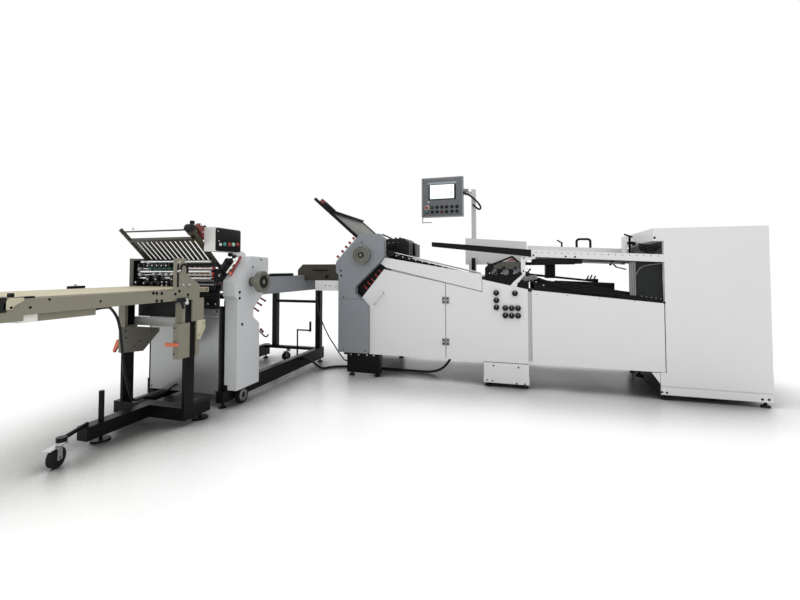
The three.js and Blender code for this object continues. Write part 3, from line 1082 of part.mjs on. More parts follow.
// Base frame of the second unit: beams, rungs, rear legs, feet and the axle of two wheels
const standRear = stand.front + stand.depth;
const legTop = carrier.bottom - seatGap;
const addBase2 = () => {
  const { right, left, tube, bottom, rear, legY } = base2;
  const front = standRear + seatGap;
  const innerRight = base2.innerLeft + tube;
  const beams = join(
    box(right - tube, right, base2.rightFront, rear, bottom, base2.frontTop),
    box(right - tube, right, base2.stepY, rear, bottom, base2.rearTop),
    box(left, left + tube, base2.stepY, rear, bottom, base2.rearTop),
    box(base2.innerLeft, innerRight, front, base2.midY + tube, bottom, lowerPanel.bottom - seatGap),
    box(left + overrun, right - overrun, base2.midY, base2.midY + tube, bottom, base2.frontTop),
    box(left + overrun, right - overrun, legY, legY + tube, base2.rearTop - base2.rungHeight,
      base2.rearTop));
  const legs = [base2.leftLeg, right - tube].map((x) => box(x, x + tube, legY, legY + tube,
    base2.rearTop - overrun, legTop));
  const rungInset = (tube - base2.crossTube) / 2;
  const upper = box(base2.leftLeg + overrun, right - overrun, legY + rungInset,
    legY + rungInset + base2.crossTube,
    base2.upperRung, base2.upperRung + base2.crossTube);
  const gland = rod([right - overrun, base2.glandY, base2.glandHeight],
    [right + base2.glandLength, base2.glandY, base2.glandHeight], base2.glandRadius, 12);
  const feet = [[right - tube / 2, base2.rightFront + foot.inset], [right - tube / 2, rear - foot.inset],
    [left + tube / 2, base2.stepY + foot.inset], [left + tube / 2, rear - foot.inset],
    [innerRight - tube / 2, front + foot.inset]].map(([x, y]) => levellingFoot(x, y, bottom));
  const jackFoot = levellingFoot(crank.x, legY + tube / 2, base2.rearTop - base2.rungHeight);
  const axleZ = transport.radius + transport.clearance;
  const wheelRight = right + transport.gap + runGap;
  const wheelLeft = left + tube + transport.gap + runGap;
  const hubs = join(
    rod([right - overrun, transport.wheelY, axleZ], [right + transport.gap, transport.wheelY, axleZ],
      transport.hubRadius, 12),
    rod([left + tube - overrun, transport.wheelY, axleZ], [left + tube + transport.gap, transport.wheelY,
      axleZ],
      transport.hubRadius, 12));
  const bore = rod([left - overrun, transport.wheelY, axleZ], [wheelRight, transport.wheelY, axleZ],
    transport.axleRadius + head.boreGap, 12);
  add('unit2_base_frame', cut(join(beams, ...legs, upper, gland, ...feet, jackFoot, hubs), bore),
    'black');
  add('transport_wheels', join(
    rod([left + overrun, transport.wheelY, axleZ], [wheelRight + transport.width, transport.wheelY, axleZ],
      transport.axleRadius, 10),
    ...[wheelLeft, wheelRight].map((x) => rod([x, transport.wheelY, axleZ],
      [x + transport.width, transport.wheelY, axleZ], transport.radius, 20))), 'rubber');
};

// Front stand: beam, two posts, arm towards the operator, jack spindle, caster rod and feet
const addStand = () => {
  const { bottom, frontTop: top } = base2;
  const armMiddle = stand.armLeft + stand.armWidth / 2;
  const post = (x) => box(x, x + stand.postWidth, stand.postFront, stand.postFront + stand.postDepth,
    top - overrun, stand.postTop);
  const stubLeft = base2.right - base2.tube;
  const rodZ = top + stand.rodRadius - stand.rodSink;
  add('front_stand', join(
    box(stand.left, base2.right, stand.front, standRear, bottom, top),
    box(stubLeft, base2.right, standRear - overrun, stand.stubEnd, bottom, top),
    post(stand.leftPost), post(stand.rightPost),
    box(stand.armLeft, stand.armLeft + stand.armWidth, stand.armEnd, stand.front + overrun, bottom, top),
    rod([stand.spindleX, stand.spindleY, top - overrun],
      [stand.spindleX, stand.spindleY, top + stand.spindleHeight], stand.spindleRadius, 12),
    rod([armMiddle, stand.rodStart, rodZ], [stand.headX, stand.headY, rodZ], stand.rodRadius, 10),
    rod([stand.headX, stand.headY, rodZ - stand.rodRadius], [stand.headX, stand.headY,
      rodZ + stand.rodRadius],
      stand.headRadius, 12),
    levellingFoot(stand.spindleX, stand.spindleY, bottom, stand.padRadius),
    levellingFoot((stubLeft + base2.right) / 2, stand.stubEnd - stand.stubFoot, bottom, stand.padRadius),
    levellingFoot(stand.left + foot.inset, stand.front + stand.depth / 2, bottom)), 'black');
};

// A caster below a swivel point: fork, neck and perhaps a brake pedal, and its wheel
const addCaster = (prefix, size, x0, y0, top, pedal) => {
  const turn = THREE.MathUtils.degToRad(size.heading);
  const place = (x, y) => [x0 + x * Math.cos(turn) - y * Math.sin(turn),
    y0 + x * Math.sin(turn) + y * Math.cos(turn)];
  const gap = size.wheelWidth / 2 + runGap;
  const outside = gap + caster.forkWall;
  const axleZ = size.wheelRadius + caster.clearance;
  const crown = axleZ + size.wheelRadius + runGap * 2;
  const crownTop = crown + caster.forkWall;
  const half = size.wheelRadius / 3;
  const band = (from, to, y1, y2) => [place(from, y1), place(to, y1), place(to, y2), place(from, y2)];
  const wall = (side) => prism('z', band(size.trail - half, size.trail + half, side * gap, side * outside),
    axleZ - 2 * caster.axleRadius, crownTop);
  const parts = [wall(1), wall(-1),
    prism('z', band(-caster.neckRadius, size.trail + half, -outside, outside), crown, crownTop),
    rod([x0, y0, crown], [x0, y0, top], caster.neckRadius, 14)];
  if (pedal) {
    const from = size.trail + half - overrun;
    parts.push(prism('z', band(from, from + caster.pedalLength, -caster.pedalWidth / 2,
      caster.pedalWidth / 2),
      crown, crown + caster.pedalThickness));
  }
  const bore = rod([...place(size.trail, -outside - overrun), axleZ], [...place(size.trail,
    outside + overrun), axleZ],
    caster.axleRadius + caster.axleGap, 12);
  add(`${prefix}_fork`, cut(join(...parts), bore), 'steel');
  add(`${prefix}_wheel`, join(
    rod([...place(size.trail, -size.wheelWidth / 2), axleZ], [...place(size.trail, size.wheelWidth / 2),
      axleZ],
      size.wheelRadius, 24),
    rod([...place(size.trail, -outside), axleZ], [...place(size.trail, outside), axleZ],
      caster.axleRadius, 10)),
  'rubber');
};
const addCasters = () => {
  addCaster('caster', caster, stand.headX, stand.headY, base2.frontTop - stand.rodSink - seatGap, true);
  addCaster('rear_caster', rearCaster, rearCaster.x, rearCaster.y,
    base2.rearTop - base2.rungHeight - seatGap, false);
};

// Height crank standing on the rear rung
const addCrank = () => {
  const y = base2.legY + base2.tube / 2;
  const armEnd = crank.x + crank.armLength;
  add('height_crank', join(
    rod([crank.x, y, base2.rearTop + seatGap], [crank.x, y, crank.top + crank.radius], crank.radius, 10),
    rod([crank.x, y, crank.top], [armEnd, y, crank.top], crank.radius, 10),
    rod([armEnd, y, crank.top - crank.gripRadius], [armEnd, y, crank.gripTop], crank.gripRadius, 10)),
  'blackPlastic');
};

// Cross carrier: side beams, deck and ribs, resting on the rear legs and on the second unit's ledge
const addCarrier = () => {
  const left = carrier.right - carrier.width;
  const flangeTop = carrier.bottom + carrier.wall;
  const beams = join(
    box(carrier.right - carrier.wall, carrier.right, carrier.front, carrier.rear, carrier.bottom,
      carrier.top),
    box(carrier.right - carrier.flange, carrier.right, carrier.front, carrier.rear, carrier.bottom,
      flangeTop),
    box(left, left + carrier.wall, carrier.front, carrier.rear, carrier.bottom, carrier.top),
    box(left, left + carrier.flange, carrier.front, carrier.rear, carrier.bottom, flangeTop));
  const deckTop = carrier.top - carrier.deckDrop;
  const insideLeft = left + carrier.wall / 2;
  const insideRight = carrier.right - carrier.wall / 2;
  const deck = box(insideLeft, insideRight, carrier.front, carrier.rear, deckTop - carrier.deckThickness,
    deckTop);
  const pitch = (carrier.rear - carrier.front) / carrier.ribs;
  const ribs = Array.from({ length: carrier.ribs }, (_, i) => {
    const y = carrier.front + (i + 0.5) * pitch;
    return box(insideLeft, insideRight, y, y + carrier.ribWidth, deckTop - carrier.ribHeight,
      deckTop - carrier.deckThickness / 2);
  });
  const ties = [[carrier.front, carrier.tieDepth], [base2.legY, base2.tube]].map(
    ([y, depth]) => box(insideLeft, insideRight, y, y + depth, carrier.bottom, flangeTop));
  add('cross_carrier', join(beams, deck, ...ribs, ...ties), 'grey');
  const over = carrier.top + seatGap;
  const beside = carrier.right + seatGap;
  const nose = bridge.noseDrop * (bridge.top - bridge.bottom);
  const outline = [
    [bridge.left, over], [beside, over], [beside, bridge.bottom], [bridge.right, bridge.bottom],
    [bridge.right, bridge.top], [bridge.left + nose, bridge.top], [bridge.left, bridge.top - nose]];
  const middle = (over + bridge.top) / 2;
  const rollers = Array.from({ length: bridge.rollers }, (_, i) => {
    const x = bridge.left + (i + 1) * (-bridge.left) / (bridge.rollers + 1);
    return rod([x, railFront + overrun, middle], [x, railRear - overrun, middle], bridge.rollerRadius, 10);
  });
  add('transfer_bridge', join(
    prism('y', outline, railFront, railFront + bridge.thickness),
    prism('y', outline, railRear - bridge.thickness, railRear), ...rollers), 'darkOlive');
  add('dock_box', box(dock.left, cover1Outline[0][0] - seatGap, dock.front, dock.front + dock.depth,
    dock.bottom,
    bridge.bottom - seatGap), 'white');
};

// Delivery conveyor, its sleeves on the posts and the belt round the bed
const addConveyor = () => {
  const left = conveyor.right - conveyor.width;
  const railTop = conveyor.railBottom + conveyor.railHeight;
  const bedLeft = left + conveyor.railThickness;
  const bedRight = conveyor.right - conveyor.railThickness;
  const bedTop = conveyor.beltTop - conveyor.beltThickness - seatGap;
  const beltLow = conveyor.bedBottom - conveyor.beltThickness - seatGap;
  const crossTop = beltLow - 2 * runGap;
  const rails = join(
    box(bedRight, conveyor.right, conveyor.near, conveyor.far, conveyor.railBottom, railTop),
    box(left, bedLeft, conveyor.near, conveyor.leftFar, conveyor.railBottom, railTop));
  const bedNear = conveyor.near + conveyor.bedInset;
  const bedFar = conveyor.beltFar - conveyor.bedInset;
  const bed = cut(
    box(bedLeft - overrun, bedRight + overrun, bedNear, bedFar, conveyor.bedBottom, bedTop),
    box(bedLeft + conveyor.beltInset, bedRight - conveyor.beltInset, bedNear + conveyor.beltInset,
      bedFar - conveyor.beltInset, conveyor.bedBottom - overrun, bedTop - 2 * conveyor.beltThickness));
  const bracketRear = stand.postFront - 2 * sleeve.gap;
  const cross = [conveyor.near, bracketRear - conveyor.crossWidth / 2].map((y) => box(
    bedLeft - overrun, bedRight + overrun, y, y + conveyor.crossWidth, conveyor.railBottom, crossTop));
  const trough = box(bedRight - conveyor.panWidth, bedRight + overrun, conveyor.near, conveyor.panFar,
    conveyor.panBottom, conveyor.railBottom + overrun);
  const driveNear = conveyor.near - conveyor.driveLength;
  const drive = cut(
    box(left, conveyor.right, driveNear, conveyor.near + overrun, conveyor.driveBottom, conveyor.driveTop),
    box(left + conveyor.driveWall, conveyor.right - conveyor.driveWall, driveNear + conveyor.driveWall,
      conveyor.near - conveyor.driveWall, conveyor.driveBottom - overrun,
      conveyor.driveTop - conveyor.driveWall));
  const driveClear = box(bedLeft, bedRight, conveyor.near - runGap, conveyor.near + 2 * overrun, crossTop,
    conveyor.driveTop + overrun);
  const plate = prism('x', atShares(conveyorPlateShares, conveyorPlate.front, conveyor.railBottom,
    conveyor.far - conveyorPlate.front, conveyorPlate.height), conveyor.right - conveyor.plateThickness,
  conveyor.right);
  const skirt = box(conveyor.right - conveyor.plateThickness, conveyor.right, conveyorPlate.skirtFront,
    conveyorPlate.skirtRear, conveyorPlate.skirtBottom, conveyor.railBottom + overrun);
  const postRear = stand.postFront + stand.postDepth;
  const ring = (postLeft, front, rear, low, high) => {
    const postRight = postLeft + stand.postWidth + sleeve.gap;
    return cut(
      box(postLeft - sleeve.gap - sleeve.wall, postRight + sleeve.cheek, front, rear, low, high),
      box(postLeft - sleeve.gap, postRight, stand.postFront - sleeve.gap, postRear + sleeve.gap,
        low - overrun, high + overrun));
  };
  const sleeveRear = postRear + sleeve.gap + sleeve.wall;
  const slot = box(stand.rightPost + stand.postWidth / 2, conveyor.right, postRear - sleeve.slotDepth,
    postRear + sleeve.gap, sleeve.rightBottom - overrun, sleeve.rightTop + overrun);
  const leftFront = gusset.thickness + stand.front - sleeve.wall;
  const rightSleeve = cut(ring(stand.rightPost, sleeve.rightFront, postRear + sleeve.rearReach,
    sleeve.rightBottom, sleeve.rightTop), slot);
  const leftSleeve = ring(stand.leftPost, leftFront, sleeveRear, sleeve.leftBottom, sleeve.leftTop);
  const brackets = [
    [stand.rightPost + stand.postWidth - sleeve.bracketWidth, sleeve.rightTop],
    [stand.leftPost, sleeve.leftTop],
  ].map(([x, z]) => box(x, x + sleeve.bracketWidth, bracketRear - sleeve.bracketDepth / 2, bracketRear,
    z - overrun, conveyor.railBottom + overrun));
  const gussetPlate = prism('y', atShares(gussetShares, gusset.left, gusset.bottom, gusset.width,
    gusset.height),
    leftFront - gusset.thickness + seatGap, leftFront + runGap);
  const barFront = postRear + sleeve.gap;
  const bar = box(stand.leftPost + stand.postWidth + sleeve.gap, stand.rightPost - sleeve.gap, barFront,
    barFront + crossbar.depth, crossbar.bottom, crossbar.bottom + crossbar.height);
  add('conveyor_frame', cut(join(rails, bed, ...cross, trough, drive, plate, skirt, rightSleeve,
    leftSleeve, ...brackets, gussetPlate, bar), driveClear), 'olive');
  const beltLeft = bedLeft + conveyor.beltInset;
  const beltRight = bedRight - conveyor.beltInset;
  add('conveyor_belt', cut(
    box(beltLeft, beltRight, conveyor.near, conveyor.beltFar, beltLow, conveyor.beltTop),
    box(beltLeft - overrun, beltRight + overrun, conveyor.near + conveyor.beltThickness,
      conveyor.beltFar - conveyor.beltThickness, beltLow + conveyor.beltThickness,
      conveyor.beltTop - conveyor.beltThickness)), 'belt');
  const pinFront = sleeve.rightFront - seatGap - clampLever.pinLength;
  add('stand_clamp_lever', join(
    rod([clampLever.x, pinFront, clampLever.height], [clampLever.x, sleeve.rightFront - seatGap,
      clampLever.height],
      clampLever.pinRadius, 12),
    box(clampLever.x - clampLever.length, clampLever.x + clampLever.width / 2,
      pinFront - clampLever.thickness / 2, pinFront + clampLever.thickness / 2,
      clampLever.height - clampLever.width / 2, clampLever.height + clampLever.width / 2)), 'orange');
  const sleeveLeft = stand.leftPost - sleeve.gap - sleeve.wall - seatGap;
  const pinLeft = sleeveLeft - clampLever.pinLength;
  const leverY = stand.postFront + stand.postDepth / 2;
  add('left_clamp_lever', join(
    rod([pinLeft, leverY, leftLever.height], [sleeveLeft, leverY, leftLever.height], clampLever.pinRadius,
      12),
    box(pinLeft - clampLever.thickness / 2, pinLeft + clampLever.thickness / 2,
      leverY - clampLever.width / 2,
      leverY + clampLever.width / 2, leftLever.height - leftLever.length,
      leftLever.height + clampLever.width / 2)), 'orange');
};

// Cables laid along the hand-chosen points
const cableSolid = (points, size) => {
  const curve = new THREE.CatmullRomCurve3(points.map((p) => new THREE.Vector3(...p)));
  const section = new THREE.Shape(Array.from({ length: size.sides }, (_, i) => {
    const angle = 2 * Math.PI * i / size.sides;
    return new THREE.Vector2(size.radius * Math.cos(angle), size.radius * Math.sin(angle));
  }));
  return toSolid(new THREE.ExtrudeGeometry(section, {
    steps: size.steps, bevelEnabled: false, extrudePath: curve }));
};
const addCables = () => {
  add('dock_cable', cableSolid(dockCablePoints, dockCable), 'cable');
  add('machine_cable', cableSolid(machineCablePoints, machineCable), 'cable');
  add('conveyor_cable', cableSolid(conveyorCablePoints, conveyorCable), 'cable');
};

addMainFrame();
addPanels();
addDoor();
addRegisterTable();
addFootBoxes();
addCabinet();
addUpperTable();
addLowerTable();
addSuctionHead();
addUnit1();
addBuckles1();
addInfeedHead();
addControlPanel();
addUnit2();
addBuckle2();
addControlBox2();
addBase2();
addStand();
addCasters();
addCrank();
addCarrier();
addConveyor();
addCables();

// The origin goes to the middle of the footprint, on the floor
const bounds = new THREE.Box3().setFromObject(machine);
machine.position.set(-(bounds.min.x + bounds.max.x) / 2, -(bounds.min.y + bounds.max.y) / 2, 0);
const assembly = new THREE.Group();
assembly.add(machine);

export default assembly;
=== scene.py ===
import math

import bmesh
import bpy
from mathutils import Matrix, Vector


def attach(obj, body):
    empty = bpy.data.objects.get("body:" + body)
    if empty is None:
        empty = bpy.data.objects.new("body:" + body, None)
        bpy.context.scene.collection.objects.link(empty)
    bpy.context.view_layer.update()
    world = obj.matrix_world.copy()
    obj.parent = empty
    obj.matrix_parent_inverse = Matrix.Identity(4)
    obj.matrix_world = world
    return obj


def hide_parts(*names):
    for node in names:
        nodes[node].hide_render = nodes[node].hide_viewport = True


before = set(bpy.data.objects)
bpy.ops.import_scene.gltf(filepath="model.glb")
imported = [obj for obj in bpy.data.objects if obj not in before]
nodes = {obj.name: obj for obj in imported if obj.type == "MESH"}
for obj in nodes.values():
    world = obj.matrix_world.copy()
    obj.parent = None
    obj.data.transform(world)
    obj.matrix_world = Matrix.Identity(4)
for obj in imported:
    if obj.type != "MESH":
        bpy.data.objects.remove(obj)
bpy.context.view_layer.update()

# Three ways that screws, knobs and rollers point: at the operator, to the right, and upwards.
front, right, up = (0, -1, 0), (1, 0, 0), (0, 0, 1)


# Places are read off in millimetres from the left edge and front face of the main machine,
# and turned here into metres from the middle of the footprint.
def at(x, y, z):
    return Vector((x / 1000 - 1.1765, y / 1000 + 0.845, z / 1000))


# The camera stands at chest height in front of the machine, a little to the right of its
# middle. It looks slightly upwards and its sensor is shifted, as in the photograph.
camera_data = bpy.data.cameras.new("camera")
camera = bpy.data.objects.new("camera", camera_data)
bpy.context.scene.collection.objects.link(camera)
camera.location = at(1680, -3815, 1050)
camera.rotation_euler = (math.radians(92.0), 0, math.radians(16.664))
camera_data.sensor_width = 36
camera_data.lens = 18.33
camera_data.shift_x = 0.0109
camera_data.shift_y = -0.0553
camera_data.clip_end = 100
bpy.context.scene.camera = camera

# Signal cable from the docking box down to the foot box of the first unit. It is a thin black
# rubber lead that hangs free, and both its ends go into the machine.

# A smooth curve through given places, cut into a few steps between each two.
def smooth_line(points, steps):
    path = [Vector(p) for p in points]
    line = []
    for i in range(len(path) - 1):
        before, a = path[max(i - 1, 0)], path[i]
        b, after = path[i + 1], path[min(i + 2, len(path) - 1)]
        for k in range(steps):
            t = k / steps
            line.append(0.5 * (2 * a + (b - before) * t + (2 * before - 5 * a + 4 * b - after) * t * t
                               + (3 * a - before - 3 * b + after) * t ** 3))
    return line + [path[-1]]


# A new node of one kind, with its settings and the values its inputs start from.
def add(tree, kind, values=(), **settings):
    node = tree.nodes.new("ShaderNode" + kind)
    for name, value in settings.items():
        setattr(node, name, value)
    for name, value in dict(values).items():
        node.inputs[name].default_value = value
    return node


# A new node group with its sockets, each named with its kind of value.
def new_effect(name, takes, gives):
    group = bpy.data.node_groups.new(name, "ShaderNodeTree")
    for way, sockets in (("INPUT", takes), ("OUTPUT", gives)):
        for socket, kind in sockets.items():
            group.interface.new_socket(socket, in_out=way, socket_type="NodeSocket" + kind)
    return group, group.links.new, group.nodes.new("NodeGroupInput"), group.nodes.new("NodeGroupOutput")


# Fine unevenness of a coated surface: a soft blotch value and a height for bump.
def coat_effect():
    group, link, given, result = new_effect("coat_effect", {"Grain": "Float", "Blotch": "Float"},
                                            {"Tint": "Float", "Height": "Float"})
    place = add(group, "TexCoord")
    for scale, detail, output in (("Grain", 4, "Height"), ("Blotch", 3, "Tint")):
        noise = add(group, "TexNoise", {"Detail": detail})
        link(place.outputs["Object"], noise.inputs["Vector"])
        link(given.outputs[scale], noise.inputs["Scale"])
        link(noise.outputs["Fac"], result.inputs[output])
    return group


coat = coat_effect()


# How much an edge is worn: where the rounded normal leaves the flat one.
def edge_effect():
    group, link, given, result = new_effect("edge_effect", {"Radius": "Float"},
                                            {"Worn": "Float", "Normal": "Vector"})
    bevel, flat = add(group, "Bevel", samples=3), add(group, "NewGeometry")
    dot = add(group, "VectorMath", operation="DOT_PRODUCT")
    less = add(group, "MapRange", {"From Min": 0.995, "From Max": 0.9})
    link(given.outputs["Radius"], bevel.inputs["Radius"])
    link(bevel.outputs["Normal"], dot.inputs[0])
    link(flat.outputs["Normal"], dot.inputs[1])
    link(dot.outputs["Value"], less.inputs["Value"])
    link(less.outputs["Result"], result.inputs["Worn"])
    link(bevel.outputs["Normal"], result.inputs["Normal"])
    return group


edge_wear = edge_effect()


# A new material whose colour varies a little around one tone, with its two effect groups.
def surface(name, colour, effect_group, shade_output, vary, edge):
    material = bpy.data.materials.new(name)
    material.use_nodes = True
    material.diffuse_color = (*colour, 1)
    tree, link = material.node_tree, material.node_tree.links.new
    effect = add(tree, "Group", node_tree=effect_group)
    edges = add(tree, "Group", {"Radius": edge}, node_tree=edge_wear)
    tint = add(tree, "MapRange", {"To Min": 1 - vary, "To Max": 1 + vary})
    shade = add(tree, "VectorMath", {0: colour}, operation="SCALE")
    link(effect.outputs[shade_output], tint.inputs["Value"])
    link(tint.outputs["Result"], shade.inputs["Scale"])
    return material, tree, link, tree.nodes["Principled BSDF"], effect, edges, shade


# Roughness between two bounds and a fine bump, each driven by one output of the effect.
def finish_surface(tree, shader, effect, edges, rough_from, bump_from, low, high, strength, depth):
    link = tree.links.new
    rough = add(tree, "MapRange", {"To Min": low, "To Max": high})
    bump = add(tree, "Bump", {"Strength": strength, "Distance": depth})
    link(effect.outputs[rough_from], rough.inputs["Value"])
    link(rough.outputs["Result"], shader.inputs["Roughness"])
    link(effect.outputs[bump_from], bump.inputs["Height"])
    link(edges.outputs["Normal"], bump.inputs["Normal"])
    link(bump.outputs["Normal"], shader.inputs["Normal"])


# A coated or moulded surface: slight blotches in colour and roughness, fine bump, lighter edges.
def coated(name, colour, roughness=0.4, grain=900, height=0.12, vary=0.06, edge=0.0015, wear=0.15,
           wear_colour=(0.8, 0.8, 0.8), metallic=0.0, shine=0.5):
    material, tree, link, shader, effect, edges, shade = surface(name, colour, coat, "Tint", vary, edge)
    shader.inputs["Metallic"].default_value = metallic
    shader.inputs["Specular IOR Level"].default_value = shine
    effect.inputs["Grain"].default_value = grain
    effect.inputs["Blotch"].default_value = 3
    amount = add(tree, "Math", {1: wear}, operation="MULTIPLY")
    mixed = add(tree, "Mix", {"B": (*wear_colour, 1)}, data_type="RGBA")
    link(edges.outputs["Worn"], amount.inputs[0])
    link(amount.outputs["Value"], mixed.inputs["Factor"])
    link(shade.outputs["Vector"], mixed.inputs["A"])
    link(mixed.outputs["Result"], shader.inputs["Base Color"])
    finish_surface(tree, shader, effect, edges, "Tint", "Height", max(0.02, roughness - 0.07),
                   roughness + 0.07, height, 0.0005)
    return material


# One cable: a round curve through its route, and the length of that curve in metres.
def cable(name, points, radius):
    curve = bpy.data.curves.new(name, "CURVE")
    curve.dimensions = "3D"
    curve.bevel_depth = radius / 1000
    curve.bevel_resolution = 5
    curve.use_fill_caps = True
    line = smooth_line(points, 6)
    spline = curve.splines.new("POLY")
    spline.points.add(len(line) - 1)
    for point, place in zip(spline.points, line):
        point.co = (*at(*place), 1)
    curve.materials.append(cable_black)
    made = bpy.data.objects.new(name, curve)
    bpy.context.scene.collection.objects.link(made)
    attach(made, "machine")
    return made, sum((b - a).length for a, b in zip(line, line[1:])) / 1000


cable_black = coated("cable_black", (0.008, 0.009, 0.011), 0.42, grain=300, height=0.2, vary=0.15, shine=0.25)
dock_points = [(-250, -25, 840.7), (-250, -25, 800), (-249, -24, 750), (-245, -20, 680), (-239, -15, 640),
               (-230, -10, 600), (-218, -3, 560), (-205, 5, 520), (-190, 14, 480), (-175, 22, 440),
               (-158, 31, 400), (-140, 40, 360), (-120, 48, 324), (-98, 55, 290), (-76, 59, 256),
               (-53, 61, 222), (-29, 61, 190), (-3, 60, 162), (20, 59, 138), (40, 58, 130.6), (56, 58, 130),
               (72.7, 58, 130)]
dock_cord, dock_length = cable("dock_cord", dock_points, 6)
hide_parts("dock_cable")

# Thick supply cable from the second unit's base along the floor to the main frame. It is stiff
# black rubber that lies on the floor and bends up into the frame behind the door.
machine_points = [(-409.7, 10, 130), (-380, 10, 130), (-350, 13, 123), (-320, 22, 106), (-296, 36, 82),
                  (-278, 56, 56), (-264, 84, 34), (-252, 116, 20), (-238, 152, 13.6), (-218, 190, 12.8),
                  (-187, 226, 12.8), (-143, 258, 12.8), (-88, 281, 12.8), (-20, 295, 12.8), (70, 304, 12.8),
                  (190, 312, 12.8), (328, 318, 12.8), (440, 318, 12.8), (538, 316, 12.8), (640, 312, 12.8),
                  (740, 308, 12.8), (820, 305, 13.6), (890, 303, 22), (950, 302, 42), (1000, 301, 74),
                  (1038, 300.5, 116), (1064, 300, 158), (1077, 300, 192), (1080, 300, 218),
                  (1080, 300, 229), (1080, 300, 239.7)]
machine_cord, machine_length = cable("machine_cord", machine_points, 12)
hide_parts("machine_cable")

# Conveyor cable from the trough down past the stand to the second unit's front panel, in black
# rubber. A thinner wire runs beside it out of the trough, clipped to the same rail.
conveyor_points = [
    (-500, -2185.7, 841), (-500, -2155, 841), (-508, -2115, 840), (-530, -2070, 838), (-565, -2020, 834),
    (-605, -1975, 825), (-645, -1931, 808), (-677, -1885, 779), (-701, -1845, 736), (-720, -1814, 674),
    (-736, -1791, 600), (-749, -1770, 530), (-760, -1754, 464), (-776, -1729, 396), (-796, -1698, 330),
    (-817, -1666, 276), (-838, -1634, 220), (-854, -1608, 176), (-864, -1580, 147), (-869, -1548, 135),
    (-872, -1510, 135), (-874, -1470, 134), (-876, -1420, 121), (-877, -1360, 117), (-878, -1300, 120),
    (-879, -1250, 130), (-880, -1215, 142), (-880, -1197, 145), (-880, -1180.3, 145),
]
conveyor_cord, conveyor_length = cable("conveyor_cord", conveyor_points, 8)
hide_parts("conveyor_cable")

# Frame of the main machine and the pole of the control panel: welded steel with a light grey
# powder coat, mostly hidden behind the panels.

# Gives the named solids their finish.
def dress(material, *names):
    for name in names:
        for place in nodes[name].material_slots:
            place.material = material


frame_grey = coated("frame_grey", (0.50, 0.51, 0.52), 0.36, grain=1400, height=0.05, vary=0.03)
dress(frame_grey, "main_frame", "panel_pole")

# White panels, covers and docking box of the main machine, and the cabinet at its right end: all
# folded sheet steel with a smooth powder coat, held by black cap screws. The foot boxes are black.

# A turned shape: an outline of distances along an axis, each with its radius, spun round that axis.
def turned(mesh, start, axis, profile, sides=28):
    foot, axis = at(*start), Vector(axis).normalized()
    side = axis.orthogonal().normalized()
    before = set(mesh.verts)
    points = [mesh.verts.new(foot + (axis * along + side * radius) / 1000) for along, radius in profile]
    lines = [mesh.edges.new(pair) for pair in zip(points, points[1:])]
    bmesh.ops.spin(mesh, geom=lines, cent=foot, axis=axis, angle=2 * math.pi, steps=sides, use_merge=True)
    made = [v for v in mesh.verts if v not in before]
    bmesh.ops.remove_doubles(mesh, verts=made, dist=1e-5)


# Low domed heads of screws, plugs and buttons, all standing out one way from a face.
def heads(mesh, places, way, radius, height, sides=16):
    for place in places:
        turned(mesh, place, way, [(-0.4, 0), (-0.4, radius), (height * 0.6, radius), (height, radius * 0.8),
                                  (height, 0)], sides)


# Ends a piece: normals outwards, smooth but for its corners, its material, body and slot. Most
# pieces ride on the main machine, in a slot called as their material is, less Blender's number.
def piece(name, mesh, material, body="machine"):
    bmesh.ops.recalc_face_normals(mesh, faces=mesh.faces[:])
    data = bpy.data.meshes.new(name)
    mesh.to_mesh(data)
    mesh.free()
    data.polygons.foreach_set("use_smooth", [True] * len(data.polygons))
    data.set_sharp_from_angle(angle=math.radians(32))
    data.materials.append(material)
    made = bpy.data.objects.new(name, data)
    bpy.context.scene.collection.objects.link(made)
    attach(made, body)


# Long fine scratches along one direction, as ground or rolled steel shows.
def brushed_effect():
    group, link, given, result = new_effect("brushed_effect", {"Stretch": "Vector"},
                                            {"Lines": "Float", "Cloud": "Float"})
    place, scale = add(group, "TexCoord"), add(group, "VectorMath", operation="MULTIPLY")
    lines, cloud = add(group, "TexNoise", {"Scale": 6, "Detail": 5}), add(group, "TexNoise", {"Scale": 5})
    link(place.outputs["Object"], scale.inputs[0])
    link(given.outputs["Stretch"], scale.inputs[1])
    link(scale.outputs["Vector"], lines.inputs["Vector"])
    link(place.outputs["Object"], cloud.inputs["Vector"])
    link(lines.outputs["Fac"], result.inputs["Lines"])
    link(cloud.outputs["Fac"], result.inputs["Cloud"])
    return group


brushed = brushed_effect()


# Bare metal with fine lines: the lines change the colour and the roughness a little.
def metal(name, colour, roughness=0.3):
    material, tree, link, shader, effect, edges, shade = surface(name, colour, brushed, "Cloud", 0.12, 0.001)
    shader.inputs["Metallic"].default_value = 1
    effect.inputs["Stretch"].default_value = (2, 120, 120)
    link(shade.outputs["Vector"], shader.inputs["Base Color"])
    finish_surface(tree, shader, effect, edges, "Lines", "Lines", max(0.05, roughness - 0.1),
                   roughness + 0.15, 0.15, 0.0003)
    return material


